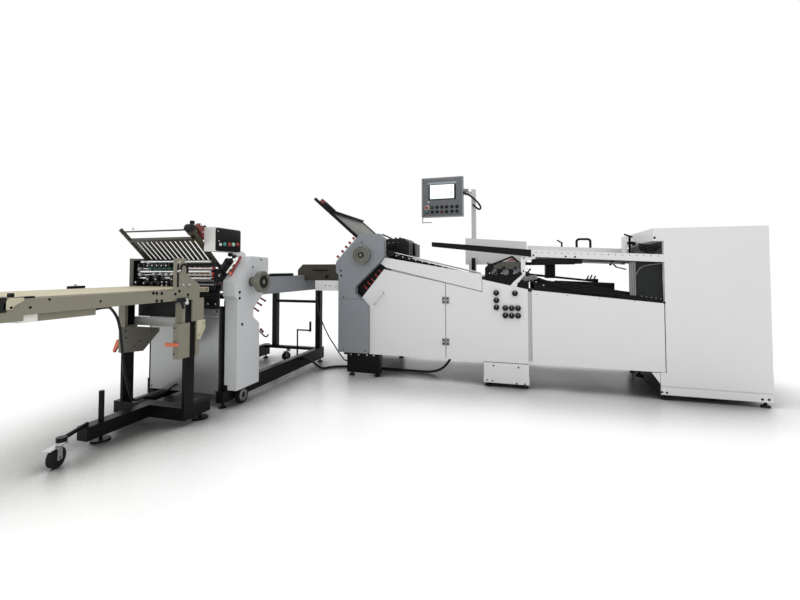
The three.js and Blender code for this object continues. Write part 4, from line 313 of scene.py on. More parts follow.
panel_white = coated("panel_white", (0.635, 0.637, 0.635), 0.34, grain=1400, height=0.05, vary=0.015,
                     wear=0.05)
satin_black = coated("satin_black", (0.0045, 0.0048, 0.0048), 0.36, grain=1100, height=0.08, vary=0.2,
                     wear=0.1, wear_colour=(0.1, 0.1, 0.1), shine=0.12)
bright_steel = metal("bright_steel", (0.58, 0.585, 0.59), 0.24)
dress(panel_white, "body_panel_middle", "body_panel_right", "register_cover", "centre_foot_box",
      "feeder_cabinet", "dock_box")
dress(satin_black, "front_foot_box", "rear_foot_box")
mesh = bmesh.new()
heads(mesh, [(2793, 0, 1314), (2853, 0, 785)], front, 9, 3, 20)
heads(mesh, [(2821, 0, 64), (2856, 0, 62), (3487, 0, 65), (3529, 0, 66)], front, 8.5, 2.5, 20)
heads(mesh, [(1501, -3, 188), (1716, -3, 186), (1443, -3, 56), (1490, -3, 53), (1699, -3, 44),
             (1769, -3, 44)], front, 7, 2.2)
heads(mesh, [(121, 10, 40), (353, 10, 44), (399, 10, 40)], front, 7, 2.5)
heads(mesh, [(1879, 0, 838), (2127, 0, 829), (2378, 0, 811), (2640, 0, 793)], front, 4, 1.2)
piece("body_screws", mesh, satin_black)
mesh = bmesh.new()
heads(mesh, [(112, 10, 206), (196, 10, 207), (284, 10, 208), (354, 10, 208)], front, 8, 3)
piece("foot_box_bolts", mesh, bright_steel)

# Levelling feet under the cabinet and the centre box: black rubber discs on round stems, with
# a dark plate behind them that paints the shade on the side of the plinth.

# Rounds the edges of what was just made, by millimetres.
def round_edges(mesh, edges, size):
    if size:
        bmesh.ops.bevel(mesh, geom=edges, offset=size / 1000, segments=2, profile=0.5, affect="EDGES",
                        material=-1)


# A box between two corners with its edges rounded.
def block(mesh, low, high, edge=1.2):
    low, high = at(*low), at(*high)
    place = Matrix.Translation((low + high) / 2) @ Matrix.Diagonal((*(high - low), 1))
    made = bmesh.ops.create_cube(mesh, size=1, matrix=place)["verts"]
    round_edges(mesh, list({e for v in made for e in v.link_edges}), edge)


black_rubber = coated("black_rubber", (0.009, 0.009, 0.009), 0.62, grain=500, height=0.3, vary=0.2, wear=0.1,
                      wear_colour=(0.08, 0.08, 0.08), shine=0.15)
# A near black finish for dark parts, also laid on the plates that paint the shade deep under and behind the
# machine.
dark_and_painted_shade = coated("dark_and_painted_shade", (0.014, 0.015, 0.016), 0.5, vary=0.15, shine=0.15)
mesh = bmesh.new()
for x, y, top in ((2853, 38, 44), (3523, 38, 44), (2853, 962, 44), (3523, 962, 44), (1454, 38, 37),
                  (1766, 38, 37)):
    turned(mesh, (x, y, 0), up, [(0, 0), (0, 30.9), (8, 31.6), (13, 29), (15, 16), (15, 11.4), (top, 11.4),
                                 (top, 0)])
piece("machine_feet", mesh, black_rubber)
# Painted shade: a dark plate where the plinth's side lies in shadow under the panel.
mesh = bmesh.new()
block(mesh, (2811.8, 8, 44), (2814.7, 992, 216), 0.5)
piece("plinth_shade", mesh, dark_and_painted_shade)

# Corner bracket of white sheet, fixed under the right panel, and the rubber foot of the
# pump that stands behind it.

# A flat outline with a thickness along one axis, edges rounded. X outlines hold (y, z),
# Y outlines (x, z) and Z outlines (x, y).
def plate(mesh, outline, axis, low, high, edge=1.0):
    def spot(a, b, c):
        return {"x": at(c, a, b), "y": at(a, c, b), "z": at(a, b, c)}[axis]
    near = [mesh.verts.new(spot(a, b, low)) for a, b in outline]
    far = [mesh.verts.new(spot(a, b, high)) for a, b in outline]
    faces = [mesh.faces.new(near), mesh.faces.new(far[::-1])]
    for i in range(len(near)):
        j = (i + 1) % len(near)
        faces.append(mesh.faces.new([near[j], near[i], far[i], far[j]]))
    round_edges(mesh, list({e for f in faces for e in f.edges}), edge)


mesh = bmesh.new()
plate(mesh, [(2752, 216), (2813, 216), (2813, 128)], "y", 2, 10, 1.0)
piece("corner_bracket", mesh, panel_white)
mesh = bmesh.new()
turned(mesh, (2741, 300, 105), up, [(0, 0), (0, 26), (4, 34), (16, 34), (22, 16), (22, 9), (118, 9),
                                    (118, 0)], 24)
piece("pump_foot", mesh, black_rubber)

# Ten round valve knobs on the middle panel, moulded in black plastic and pushed on stubs of
# the solid. A pale pointer line marks each one.

# A round knob: a skirt, a waist and a thick rim with a dished end.
def knob(mesh, place, way, radius, depth):
    turned(mesh, place, way, [(-0.4, 0), (-0.4, radius * 1.02), (depth * 0.22, radius * 1.02),
                              (depth * 0.3, radius * 0.86), (depth * 0.42, radius * 0.86),
                              (depth * 0.52, radius), (depth * 0.92, radius), (depth, radius * 0.9),
                              (depth, radius * 0.5), (depth * 0.94, radius * 0.4), (depth * 0.94, 0)], 32)


black_plastic = coated("black_plastic", (0.006, 0.006, 0.0065), 0.42, grain=800, height=0.2, vary=0.15,
                       wear=0.08, wear_colour=(0.1, 0.1, 0.1), shine=0.2)
pale_grey = coated("pale_grey", (0.55, 0.56, 0.56), 0.35, vary=0.04)
mesh = bmesh.new()
valves = [(1530, 843), (1531, 776), (1531, 712), (1692, 841), (1608, 709), (1663, 709), (1717, 710),
          (1608, 643), (1662, 642), (1717, 644)]
for x, z in valves:
    knob(mesh, (x, 0, z), front, 24.8, 28)
piece("valve_knobs", mesh, black_plastic)
mesh = bmesh.new()
for x, z in valves:
    block(mesh, (x - 1.6, -28.4, z + 4), (x + 1.6, -26, z + 20), 0.4)
piece("valve_pointers", mesh, pale_grey)

# Service door with its two hinges: steel leaves on panel and door, a barrel between them, and
# two black cap screws in each leaf. The door is folded from the same white sheet as the panels.
dull_steel = metal("dull_steel", (0.25, 0.255, 0.26), 0.36)
dress(panel_white, "service_door")
leaf_front = -6.4
mesh, swing, bolts, door_bolts = bmesh.new(), bmesh.new(), bmesh.new(), bmesh.new()
for z in (380, 767):
    block(mesh, (1074, leaf_front, z - 31), (1104, 0.2, z + 31), 0.8)
    turned(mesh, (1070, -5.3, z - 30.5), up, [(0, 0), (0, 4.5), (1, 5.6), (20, 5.6), (20.3, 5.2),
                                              (20.6, 5.6), (40, 5.6), (40.3, 5.2), (40.6, 5.6), (60, 5.6),
                                              (61, 4.5), (61, 0)], 16)
    block(swing, (1037, leaf_front, z - 31), (1064, 0.2, z + 31), 0.8)
    heads(bolts, [(1090, leaf_front, z - 18), (1090, leaf_front, z + 18)], front, 8, 2)
    heads(door_bolts, [(1051, leaf_front, z - 18), (1051, leaf_front, z + 18)], front, 8, 2)
piece("hinge_leaves", mesh, dull_steel)
piece("door_hinge_leaves", swing, dull_steel, "service_door")
piece("hinge_bolts", bolts, satin_black)
piece("door_hinge_bolts", door_bolts, satin_black, "service_door")

# Door handle of bright round steel, bent at both ends, with a turned collar over each foot
# where it is screwed to the door.
dress(bright_steel, "door_handle")
mesh = bmesh.new()
for x, z in ((366, 718), (458, 826)):
    turned(mesh, (x, 0.2, z), front, [(0, 0), (0, 14), (3, 14), (6, 10.5), (9, 10.5), (9, 0)], 24)
piece("handle_collars", mesh, bright_steel, "service_door")

# Register table of plain steel sheet, with two bright guide rods on short posts and a black
# side rail that is screwed on every few centimetres.

# A round bar between two places, with small chamfers at its ends.
def bar(mesh, a, b, radius, sides=20, edge=1.0):
    way = Vector(b) - Vector(a)
    edge = min(edge, radius / 3)
    turned(mesh, a, way, [(0, 0), (0, radius - edge), (edge, radius), (way.length - edge, radius),
                          (way.length, radius - edge), (way.length, 0)], sides)


dress(dull_steel, "register_table")
mesh = bmesh.new()
bar(mesh, (522, 88, 1228), (1390, 88, 1022), 5)
bar(mesh, (300, 900, 1249), (1330, 900, 1008), 5)
for share in (0.08, 0.3, 0.52, 0.74, 0.95):
    x, z = 522 + 868 * share, 1228 - 206 * share
    bar(mesh, (x, 88, z - 26), (x, 88, z), 4, 12)
for i in range(13):
    x, z = 570 + 66 * i, 1192 - 15.9 * i
    turned(mesh, (x, 70, z), front, [(-0.4, 0), (-0.4, 7), (3, 7), (4, 5), (4, 0)], 14)
piece("guide_rods", mesh, bright_steel)
mesh = bmesh.new()
plate(mesh, [(536, 1209), (1385, 1000), (1385, 968), (536, 1167)], "y", 70, 104, 1.2)
block(mesh, (1226, 890, 1045), (1266, 935, 1187), 2)
piece("register_rail", mesh, satin_black)

# Infeed head over the register table: a slanted casting in black enamel, with a lever on its
# left, a slide on its right and three steel setting knobs on top.
dress(black_plastic, "infeed_head")
mesh = bmesh.new()
plate(mesh, [(390, 1378), (579, 1384), (659, 1313), (657, 1192), (494, 1192), (480, 1254), (345, 1272)],
      "y", 300, 700, 3)
plate(mesh, [(662, 1340), (674, 1336), (680, 1198), (664, 1204)], "y", 420, 560, 2)
bar(mesh, (285, 500, 1448), (378, 500, 1404), 8)
bar(mesh, (372, 500, 1370), (372, 500, 1412), 9)
bar(mesh, (310, 470, 1300), (345, 470, 1300), 14)
piece("infeed_casting", mesh, black_plastic)
mesh = bmesh.new()
for x in (430, 480, 530):
    knob(mesh, (x, 360, 1378), up, 13, 20)
heads(mesh, [(420, 300, 1330), (470, 300, 1335), (520, 300, 1335), (570, 300, 1330), (620, 300, 1290)],
      front, 8, 3)
piece("infeed_knobs", mesh, dull_steel)

# Covers and side plates of the first fold unit: grey powder coat outside and satin black inside,
# with round plugs, cap screws and a seam across the column.
unit_grey = coated("unit_grey", (0.205, 0.219, 0.235), 0.38, grain=1400, height=0.06, vary=0.04, shine=0.4)
dress(unit_grey, "unit1_front_cover", "unit1_rear_cover")
dress(satin_black, "unit1_side_frames")
mesh = bmesh.new()
heads(mesh, [(26, -50, 1044), (30, -50, 994)], front, 10, 1.5, 20)
heads(mesh, [(58, -50, 781), (249, -50, 1321), (58, -50, 260), (282, -50, 260)], front, 7, 2.5)
block(mesh, (1.5, -50.5, 762), (296, -49, 764.5), 0)
piece("cover_plugs", mesh, satin_black)

# Fold rollers of the first unit, ground bright steel, and the red plastic setting knobs that
# stand on short steel stems along the slope of the cover.
red_plastic = coated("red_plastic", (0.27, 0.022, 0.022), 0.3, grain=600, height=0.05, vary=0.05, shine=0.4)
dress(bright_steel, "unit1_fold_roller_1", "unit1_fold_roller_2", "unit1_fold_roller_3")
along, out = Vector((0.6797, 0, 0.7335)), Vector((-0.7335, 0, 0.6797))
mesh, stems = bmesh.new(), bmesh.new()
for share in (0.118, 0.316, 0.474, 0.624, 0.787):
    foot = Vector((-27, -20, 1132)) + along * (372.2 * share)
    turned(stems, foot, out, [(-1, 0), (-1, 9), (4, 9), (5, 6.2), (17, 6.2), (17, 0)], 16)
    turned(mesh, foot, out, [(15.5, 0), (15.5, 9), (18, 12.6), (24, 12.6), (26, 11.4), (28, 12.6),
                             (40, 12.6), (43, 9), (43, 0)], 24)
piece("slope_knobs", mesh, red_plastic)
piece("slope_stems", stems, bright_steel)

# Red plastic levers in the slot under the cover. Each is moulded over a plain steel bar and held
# by a black collar.
square = Vector((0.689, 0, -0.7247))
mesh, collars = bmesh.new(), bmesh.new()
for x, z in ((260.9, 882), (293.7, 923), (333.1, 958), (372, 1002.5), (410.8, 1040)):
    foot = Vector((x, 19.5, z)) - square * 27
    turned(mesh, foot, square, [(0, 0), (0, 5.5), (2, 8), (30, 8), (36, 6.5), (44, 8.6), (55, 9.6), (60, 7),
                                (60, 0)], 20)
    turned(collars, foot, square, [(4, 0), (4, 10.5), (16, 10.5), (17, 9), (17, 0)], 20)
piece("slot_levers", mesh, red_plastic)
piece("slot_collars", collars, satin_black)

# Handwheel of the first unit: grey cast metal, turned on its face, with a dark bore, a dark
# groove near the rim and a black ring behind it on the cover.
wheel_grey = coated("wheel_grey", (0.17, 0.168, 0.14), 0.36, grain=600, height=0.2, vary=0.08, metallic=0.35)
dress(wheel_grey, "unit1_handwheel")
wheel_place = (258, -109.4, 1196)
mesh = bmesh.new()
turned(mesh, wheel_place, front, [(0, 14), (0, 28), (1.4, 27), (1.4, 15), (0, 14)], 28)
turned(mesh, wheel_place, front, [(0, 70), (0, 76), (1.2, 75), (1.2, 71), (0, 70)], 40)
piece("wheel_face", mesh, satin_black, "unit1_drive")
mesh = bmesh.new()
turned(mesh, (258, -49.6, 1196), front, [(0, 0), (0, 44), (3, 44), (5, 40), (5, 34), (3, 32), (3, 0)], 40)
piece("drive_ring", mesh, dark_and_painted_shade)

# Buckle plates of the first unit: grey steel sheets between black side rails with round cross
# bars, and a red plastic paper stop whose rail and bar are covered in black.
red_paint = coated("red_paint", (0.15, 0.030, 0.026), 0.4, grain=900, height=0.1, vary=0.08, wear=0.2,
                   wear_colour=(0.5, 0.3, 0.27), shine=0.35)
sheet_grey = coated("sheet_grey", (0.105, 0.103, 0.098), 0.45, grain=500, height=0.25, vary=0.1, shine=0.35)
dress(dull_steel, "unit1_upper_buckle", "unit1_lower_buckle")
dress(red_paint, "unit1_buckle_stop")
foot_x, foot_z, slope = 262, 1300, math.radians(41)


# An outline of a stretch of the slope, between two distances up it and two heights over it.
def on_slope(start, end, low, high):
    return [(foot_x - along * math.cos(slope) + height * math.sin(slope),
             foot_z + along * math.sin(slope) + height * math.cos(slope))
            for along, height in ((start, low), (end, low), (end, high), (start, high))]


mesh = bmesh.new()
plate(mesh, on_slope(2, 766.5, -15.8, 15.8), "y", 39.6, 54.4, 1.5)
plate(mesh, on_slope(2, 560.5, -15.8, 15.8), "y", 945.2, 959.8, 1.5)
for along in (120, 505, 545):
    x, z = on_slope(along, along, 8, 8)[0]
    bar(mesh, (x, 50, z), (x, 952, z), 7)
piece("buckle_rails", mesh, satin_black)
mesh = bmesh.new()
for low, high in ((4.4, 6.2), (-6.2, -4.4)):
    plate(mesh, on_slope(10, 502, low, high), "y", 55, 945, 0.5)
piece("buckle_sheets", mesh, sheet_grey)
mesh = bmesh.new()
plate(mesh, on_slope(513.5, 530, 16.1, 36.4), "y", 84, 958, 1)
plate(mesh, on_slope(513.5, 650, 16.1, 50.4), "y", 39.8, 86.2, 1.5)
piece("stop_cover", mesh, satin_black, "unit1_stop")

# Upper table with its white beam and guards, all powder coated sheet, and the black arm that
# carries it. A row of small holes runs along the beam between two bolts.
dress(panel_white, "upper_table", "rear_guard_panels")
dress(satin_black, "upper_table_arm")
mesh = bmesh.new()
heads(mesh, [(1874 + 52.5 * i, 0, 1204 - 2.22 * i) for i in range(19)], front, 4.2, 0.6, 12)
heads(mesh, [(2116, 0, 1166), (2190, 0, 1163), (1852, 0, 1180)], front, 8, 3)
heads(mesh, [(1772, 8, 1154), (1765, 8, 1040)], front, 7, 2.5)
turned(mesh, (1736, 8, 1016), front, [(-0.4, 0), (-0.4, 19), (1, 19), (1, 13), (0.4, 12), (0.4, 0)], 32)
piece("beam_holes", mesh, satin_black)

# Carrying handle of bent black tube on the rear fence, screwed on from below, and the small
# lever beside it.

# A bent round bar along a smooth line: a disc that is pushed on and turned at each step.
def bent(mesh, points, radius, sides=12, smooth=4):
    line = smooth_line(points, smooth)
    frames, side = [], None
    for i, p in enumerate(line):
        way = (line[min(i + 1, len(line) - 1)] - line[max(i - 1, 0)]).normalized()
        side = way.orthogonal().normalized() if side is None else (side - way * side.dot(way)).normalized()
        frames.append(Matrix.Translation(at(*p)) @ Matrix((way.cross(side), side, way)).transposed().to_4x4())
    disc = bmesh.ops.create_circle(mesh, cap_ends=True, radius=radius / 1000, segments=sides,
                                   matrix=frames[0])
    end = disc["verts"][0].link_faces[0]
    for low, high in zip(frames, frames[1:]):
        grown = bmesh.ops.extrude_face_region(mesh, geom=[end])["geom"]
        if low is not frames[0]:
            bmesh.ops.delete(mesh, geom=[end], context="FACES_ONLY")
        end = next(g for g in grown if isinstance(g, bmesh.types.BMFace))
        bmesh.ops.transform(mesh, matrix=high @ low.inverted(), verts=end.verts[:])


mesh = bmesh.new()
fence = 980
handle = ((2340, 1290), (2340, 1330), (2341, 1364), (2362, 1382), (2410, 1382), (2456, 1380), (2474, 1362),
          (2475, 1325), (2475, 1286))
bent(mesh, [(x, fence, z) for x, z in handle], 12, 14)
bar(mesh, (2190, fence, 1298), (2190, fence, 1350), 9)
bar(mesh, (2142, fence, 1377), (2200, fence, 1342), 7.5)
piece("fence_handle", mesh, satin_black)

# Hanging strip and rods under the beam. The strip is black steel bolted to the beam, the rods
# are plain drawn steel, and a black hook hangs on one of them.
mesh = bmesh.new()
block(mesh, (1836, 22, 1098), (2192, 60, 1150), 2)
block(mesh, (2080, 60, 1104), (2256, 90, 1146), 2)
bar(mesh, (2500, 100, 1108), (2531, 100, 1074), 6)
bar(mesh, (2531, 100, 1075), (2606, 100, 1055), 5)
bar(mesh, (2480, 100, 1090), (2502, 100, 1130), 9)
piece("under_beam_strip", mesh, satin_black)
mesh = bmesh.new()
bar(mesh, (2180, 100, 1124), (2574, 100, 1108), 9)
bar(mesh, (2253, 200, 1139), (2619, 200, 1104), 8)
piece("under_beam_rods", mesh, dull_steel)

# Clamp lever and black guide rails where the upper table runs into the hood, held by a white
# plate that is screwed to the table.
mesh = bmesh.new()
bar(mesh, (2733, 500, 1180), (2733, 500, 1372), 10)
bar(mesh, (2688, 500, 1387), (2758, 500, 1359), 8)
bar(mesh, (2752, 500, 1291), (2850, 500, 1322), 15)
block(mesh, (2700, 470, 1290), (2762, 530, 1316), 4)
for i in range(5):
    bar(mesh, (2690 + 14 * i, 70 + 45 * i, 1272 - 10 * i), (2852, 70 + 45 * i, 1240 - 14 * i), 6)
piece("clamp_and_rails", mesh, satin_black)
mesh = bmesh.new()
plate(mesh, [(2676, 1180), (2698, 1180), (2698, 1365), (2676, 1365)], "y", 440, 560, 2)
piece("clamp_plate", mesh, panel_white)

# Lower table with its belts, painted black, the olive guide plate across it, the curved black
# guide tubes over it and the grooved steel column at the cabinet.
guide_olive = coated("guide_olive", (0.060, 0.060, 0.051), 0.4, grain=900, height=0.1, vary=0.07, shine=0.3)
dress(satin_black, "lower_table")
mesh = bmesh.new()
plate(mesh, [(2084, 849), (2640, 815), (2641, 922), (2085, 943)], "y", 697, 703, 1)
piece("guide_plate", mesh, guide_olive)
mesh = bmesh.new()
plate(mesh, [(1821, 1018), (2448, 950), (2448, 932), (1821, 996)], "y", 440, 560, 2)
bent(mesh, [(1832, 30, 944), (1960, 30, 909), (2085, 30, 883), (2267, 30, 852), (2532, 30, 832)], 9, 14)
for x, z in ((2350, 958), (2380, 966), (2410, 958)):
    bar(mesh, (x, 440, z), (x + 14, 430, z + 38), 6)
block(mesh, (2340, 430, 944), (2448, 470, 966), 3)
bent(mesh, [(1884, 18, 977), (1998, 18, 935), (2114, 18, 895), (2266, 18, 864), (2530, 18, 844)], 10, 14)
piece("curved_guides", mesh, satin_black)
mesh = bmesh.new()
plate(mesh, [(1856, 951), (2848, 811), (2848, 782), (1856, 884)], "y", 38, 48, 1.5)
piece("table_edge", mesh, satin_black)
mesh = bmesh.new()
for x in (2620, 2636, 2652):
    bar(mesh, (x, 30, 838), (x, 30, 1118), 6, 16)
block(mesh, (2612, 33, 836), (2660, 48, 1120), 1.5)
piece("grooved_column", mesh, dull_steel)

# Suction drum of the feeder in plain steel, behind a dark screen with a thin wire across it and
# a row of screw heads along its foot.
dress(dull_steel, "feeder_drum")
mesh = bmesh.new()
plate(mesh, [(2660, 834), (2854, 808), (2854, 1113), (2660, 1118)], "y", 36, 42, 1)
piece("drum_screen", mesh, dark_and_painted_shade)
mesh = bmesh.new()
bent(mesh, [(2664, 33, 1010), (2680, 32, 1050), (2710, 32, 1078), (2760, 32, 1092), (2850, 32, 1104)], 3, 10)
heads(mesh, [(2700 + 35 * i, 36, 832 - 5 * i) for i in range(5)], front, 5, 3)
piece("screen_wire", mesh, dull_steel)

# Suction head: a black enamelled body on a rubber roller, with dark wheels on its face, a pink
# flag, jointed levers, two knobs and a bent air hose.
deep_black = coated("deep_black", (0.003, 0.003, 0.003), 0.32, grain=700, height=0.15, vary=0.25, wear=0.12,
                    wear_colour=(0.12, 0.12, 0.12), shine=0.12)
panel_mid = coated("panel_mid", (0.115, 0.12, 0.128), 0.4, grain=1400, height=0.05, vary=0.05, shine=0.35)
rose_paint = coated("rose_paint", (0.42, 0.16, 0.19), 0.4, vary=0.06)
dress(deep_black, "suction_head")
dress(black_rubber, "suction_roller")
mesh = bmesh.new()
for x, z in ((1515, 1031), (1613, 1031), (1710, 1044)):
    turned(mesh, (x, 26, z), front, [(-4, 0), (-4, 25), (-2, 28), (6, 28), (8, 25), (8, 17), (4, 14),
                                     (4, 8), (10, 7), (10, 0)], 28)
bar(mesh, (1767, 18, 968), (1880, 18, 989), 22, 28, 3)
piece("head_wheels", mesh, panel_mid)
mesh = bmesh.new()
plate(mesh, [(1502, 1090), (1578, 1125), (1736, 1129), (1736, 1059), (1517, 1059)], "y", 24, 29.5, 2)
piece("head_plate", mesh, guide_olive)
mesh = bmesh.new()
plate(mesh, [(1617, 1130), (1670, 1165), (1716, 1134)], "y", 118, 124, 1)
piece("head_flag", mesh, rose_paint)
mesh = bmesh.new()
head_front = 24
screws = ((1425, 1002), (1472, 1020), (1578, 1020), (1686, 1020), (1815, 927), (1872, 945), (1935, 916),
          (1800, 1063))
heads(mesh, [(x, head_front, z) for x, z in screws], front, 6, 3)
piece("head_screws", mesh, bright_steel)
mesh = bmesh.new()
link = ((1481, 22, 1094), (1671, 22, 1171), (1724, 22, 1122))
for a, b in zip(link, link[1:]):
    bar(mesh, a, b, 9)
bent(mesh, [(1453, 22, 1120), (1468, 22, 1090), (1500, 22, 1036)], 8, 12)
bar(mesh, (1718, 14, 926), (1829, 14, 1063), 7)
knob(mesh, (1600, 28, 1066), front, 16, 18)
knob(mesh, (1700, 28, 1066), front, 14, 16)
bent(mesh, [(1560, 24, 1060), (1545, 12, 1040), (1500, 10, 1000), (1455, 20, 975)], 7, 12)
piece("head_casting", mesh, black_plastic)

# Control panel: a grey coated housing on the pole, whose face plate stands a little proud and is
# darker than the housing.
dress(unit_grey, "panel_housing")
panel_front = 897.6
mesh = bmesh.new()
plate(mesh, [(660, 1684), (1118, 1684), (1118, 2123), (660, 2123)], "y", panel_front - 0.1, panel_front + 3,
      1.5)
piece("panel_face", mesh, panel_mid, "control_panel")

# Display of the control panel: lit glass in a dark frame, with a paler strip above it and a few
# plain marks in place of the picture.
pale_blue = coated("pale_blue", (0.27, 0.33, 0.35), 0.4, vary=0.04)
lit_glass = coated("lit_glass", (0.75, 0.80, 0.80), 0.12, height=0.0, vary=0.01, wear=0.0)
lit_shader = lit_glass.node_tree.nodes["Principled BSDF"]
lit_shader.inputs["Emission Color"].default_value = (0.9, 1.0, 1.0, 1)
lit_shader.inputs["Emission Strength"].default_value = 0.5
mesh = bmesh.new()
plate(mesh, [(729, 1872), (1052, 1872), (1052, 2054), (729, 2054)], "y", 895.5, 898, 1.5)
piece("display_frame", mesh, dark_and_painted_shade, "control_panel")
mesh = bmesh.new()
plate(mesh, [(724, 2057), (1058, 2057), (1058, 2080), (724, 2080)], "y", 896, 898, 0.8)
piece("display_strip", mesh, pale_blue, "control_panel")
mesh = bmesh.new()
plate(mesh, [(747, 1885), (1030, 1885), (1030, 2049), (747, 2049)], "y", 894.9, 896, 0.4)
piece("display_glass", mesh, lit_glass, "control_panel")
mesh = bmesh.new()
for low, high in (((775, 2027), (965, 2032)), ((990, 2020), (1008, 2034)), ((815, 1911), (850, 1917)),
                  ((990, 1940), (1004, 1975))):
    block(mesh, (low[0], 894.6, low[1]), (high[0], 895.2, high[1]), 0.15)
piece("display_marks", mesh, pale_grey, "control_panel")

# Two rows of black push buttons under the display, three of them with coloured caps. The red
# plastic emergency stop has a pale collar of its own, and a screw sits in each corner.
green_cap = coated("green_cap", (0.02, 0.06, 0.025), 0.3, vary=0.06)
teal_cap = coated("teal_cap", (0.03, 0.22, 0.20), 0.3, vary=0.06)
wine_cap = coated("wine_cap", (0.13, 0.010, 0.018), 0.3, vary=0.06, shine=0.35)
dress(red_plastic, "emergency_stop")
panel_left, panel_width = 645, 490
upper_row, lower_row = 1786, 1731
columns = [panel_left + panel_width * u for u in (0.262, 0.378, 0.495, 0.608, 0.733, 0.852)]
mesh = bmesh.new()
places = [(x, panel_front, upper_row) for x in columns] + [(x, panel_front, lower_row)
                                                           for x in [709] + columns]
for place in places:
    turned(mesh, place, front, [(-0.4, 0), (-0.4, 20), (3, 20), (5, 18), (5, 15), (9, 15), (10.5, 13.5),
                                (10.5, 0)], 24)
piece("panel_buttons", mesh, black_plastic, "control_panel")
for name, place, material in (("start_cap", places[0], green_cap), ("lamp_cap", places[6], teal_cap),
                              ("stop_cap", places[9], wine_cap)):
    mesh = bmesh.new()
    turned(mesh, (place[0], 887.3, place[2]), front, [(-0.3, 0), (-0.3, 12.5), (1.2, 12), (1.8, 10),
                                                      (1.8, 0)], 24)
    piece(name, mesh, material, "control_panel")
mesh = bmesh.new()
turned(mesh, (708.7, panel_front, 1783.6), front, [(-0.4, 0), (-0.4, 29), (2.5, 29), (4, 26), (4, 0)], 32)
heads(mesh, [(728, panel_front, 1850)], front, 10, 1.2, 20)
piece("stop_collar", mesh, pale_grey, "control_panel")
mesh = bmesh.new()
corners = [(x, panel_front, z) for x in (668, 1110) for z in (1692, 2115)]
heads(mesh, corners + [(674, panel_front, 2080)], front, 5, 1.5)
piece("panel_screws", mesh, satin_black, "control_panel")

# Flexible hose of black rubber that carries the wires from the panel's joint back to its pole,
# with a gland at its upper end.
mesh = bmesh.new()
hose_line = 915
loop = ((1131, 1935), (1190, 1919), (1255, 1868), (1300, 1820), (1330, 1769), (1315, 1743), (1280, 1766),
        (1241, 1803))
bent(mesh, [(x, hose_line, z) for x, z in loop], 10.5, 14)
turned(mesh, (1128, hose_line, 1946), (1, 0, -0.1), [(0, 0), (0, 16), (22, 16), (25, 13), (25, 0)], 20)
piece("panel_hose", mesh, black_rubber)

# Base of the second unit and the conveyor's stand, welded from square tube and painted satin
# black, with their crank, wheels and casters: rubber tyres, bright forks and steel hub rings.
dress(satin_black, "unit2_side_frames", "unit2_base_frame", "front_stand", "height_crank")
dress(black_rubber, "transport_wheels", "caster_wheel", "rear_caster_wheel")
dress(bright_steel, "caster_fork", "rear_caster_fork")
mesh = bmesh.new()
turned(mesh, (-383, -1018, 61.2), right, [(-2, 20), (-2, 46), (1, 46), (3, 43), (3, 22), (-2, 20)], 36)
piece("wheel_hubs", mesh, dull_steel, "transport_axle")

# Light grey cover of the second unit, with black plugs and screws, and its grey cast handwheel
# with a dark bore, a groove near the rim and a steel ring behind it.
dress(frame_grey, "unit2_side_cover")
dress(wheel_grey, "unit2_handwheel")
cover_side, wheel_side = -350, -235.6
mesh = bmesh.new()
heads(mesh, [(cover_side, -962, 1074), (cover_side, -851, 1138)], right, 8, 3)
heads(mesh, [(cover_side, -1124, 877), (cover_side, -1123, 832), (cover_side, -1089, 627)], right, 12, 2.5,
      20)
piece("cover_plugs_2", mesh, satin_black)
mesh = bmesh.new()
turned(mesh, (-350.4, -975, 955), right, [(0, 0), (0, 40), (3, 40), (5, 36), (5, 0)], 40)
piece("drive_ring_2", mesh, dull_steel)
mesh = bmesh.new()
turned(mesh, (wheel_side, -975, 955), right, [(0, 19), (0, 46), (1.4, 45), (1.4, 20), (0, 19)], 36)
turned(mesh, (wheel_side, -975, 955), right, [(0, 67), (0, 70), (1.2, 69.5), (1.2, 67.5), (0, 67)], 40)
piece("wheel_face_2", mesh, satin_black, "unit2_drive")

# Three wine red levers behind the cover, turned to a grip at their ends, a fourth below them,
# and a hook of bent black wire.
lever_side = -372
mesh = bmesh.new()
for a, b in (((-832, 818), (-748, 783)), ((-864, 777), (-803, 750)), ((-910, 738), (-846, 706))):
    way = Vector((0, b[0] - a[0], b[1] - a[1]))
    tip = way.length
    turned(mesh, (lever_side, *a), way, [(-34, 0), (-34, 5), (0, 5), (4, 8), (tip - 10, 7), (tip - 6, 10),
                                         (tip, 8), (tip, 0)], 20)
bar(mesh, (lever_side, -812, 552), (lever_side, -775, 520), 9)
piece("cover_levers", mesh, wine_cap)
mesh = bmesh.new()
bent(mesh, [(lever_side, -832, 540), (lever_side, -790, 506), (lever_side, -750, 480),
            (lever_side, -716, 474), (lever_side, -700, 492)], 6, 12)
piece("cover_hook", mesh, satin_black)

# Slitter shaft in bright steel. In front of it and the rollers cross the delivery bars, with
# green clamps, pale wheels and black clamps that are each held by a steel screw.
green_paint = coated("green_paint", (0.014, 0.085, 0.062), 0.4, vary=0.1, shine=0.3)
dress(bright_steel, "unit2_slitter_shaft")
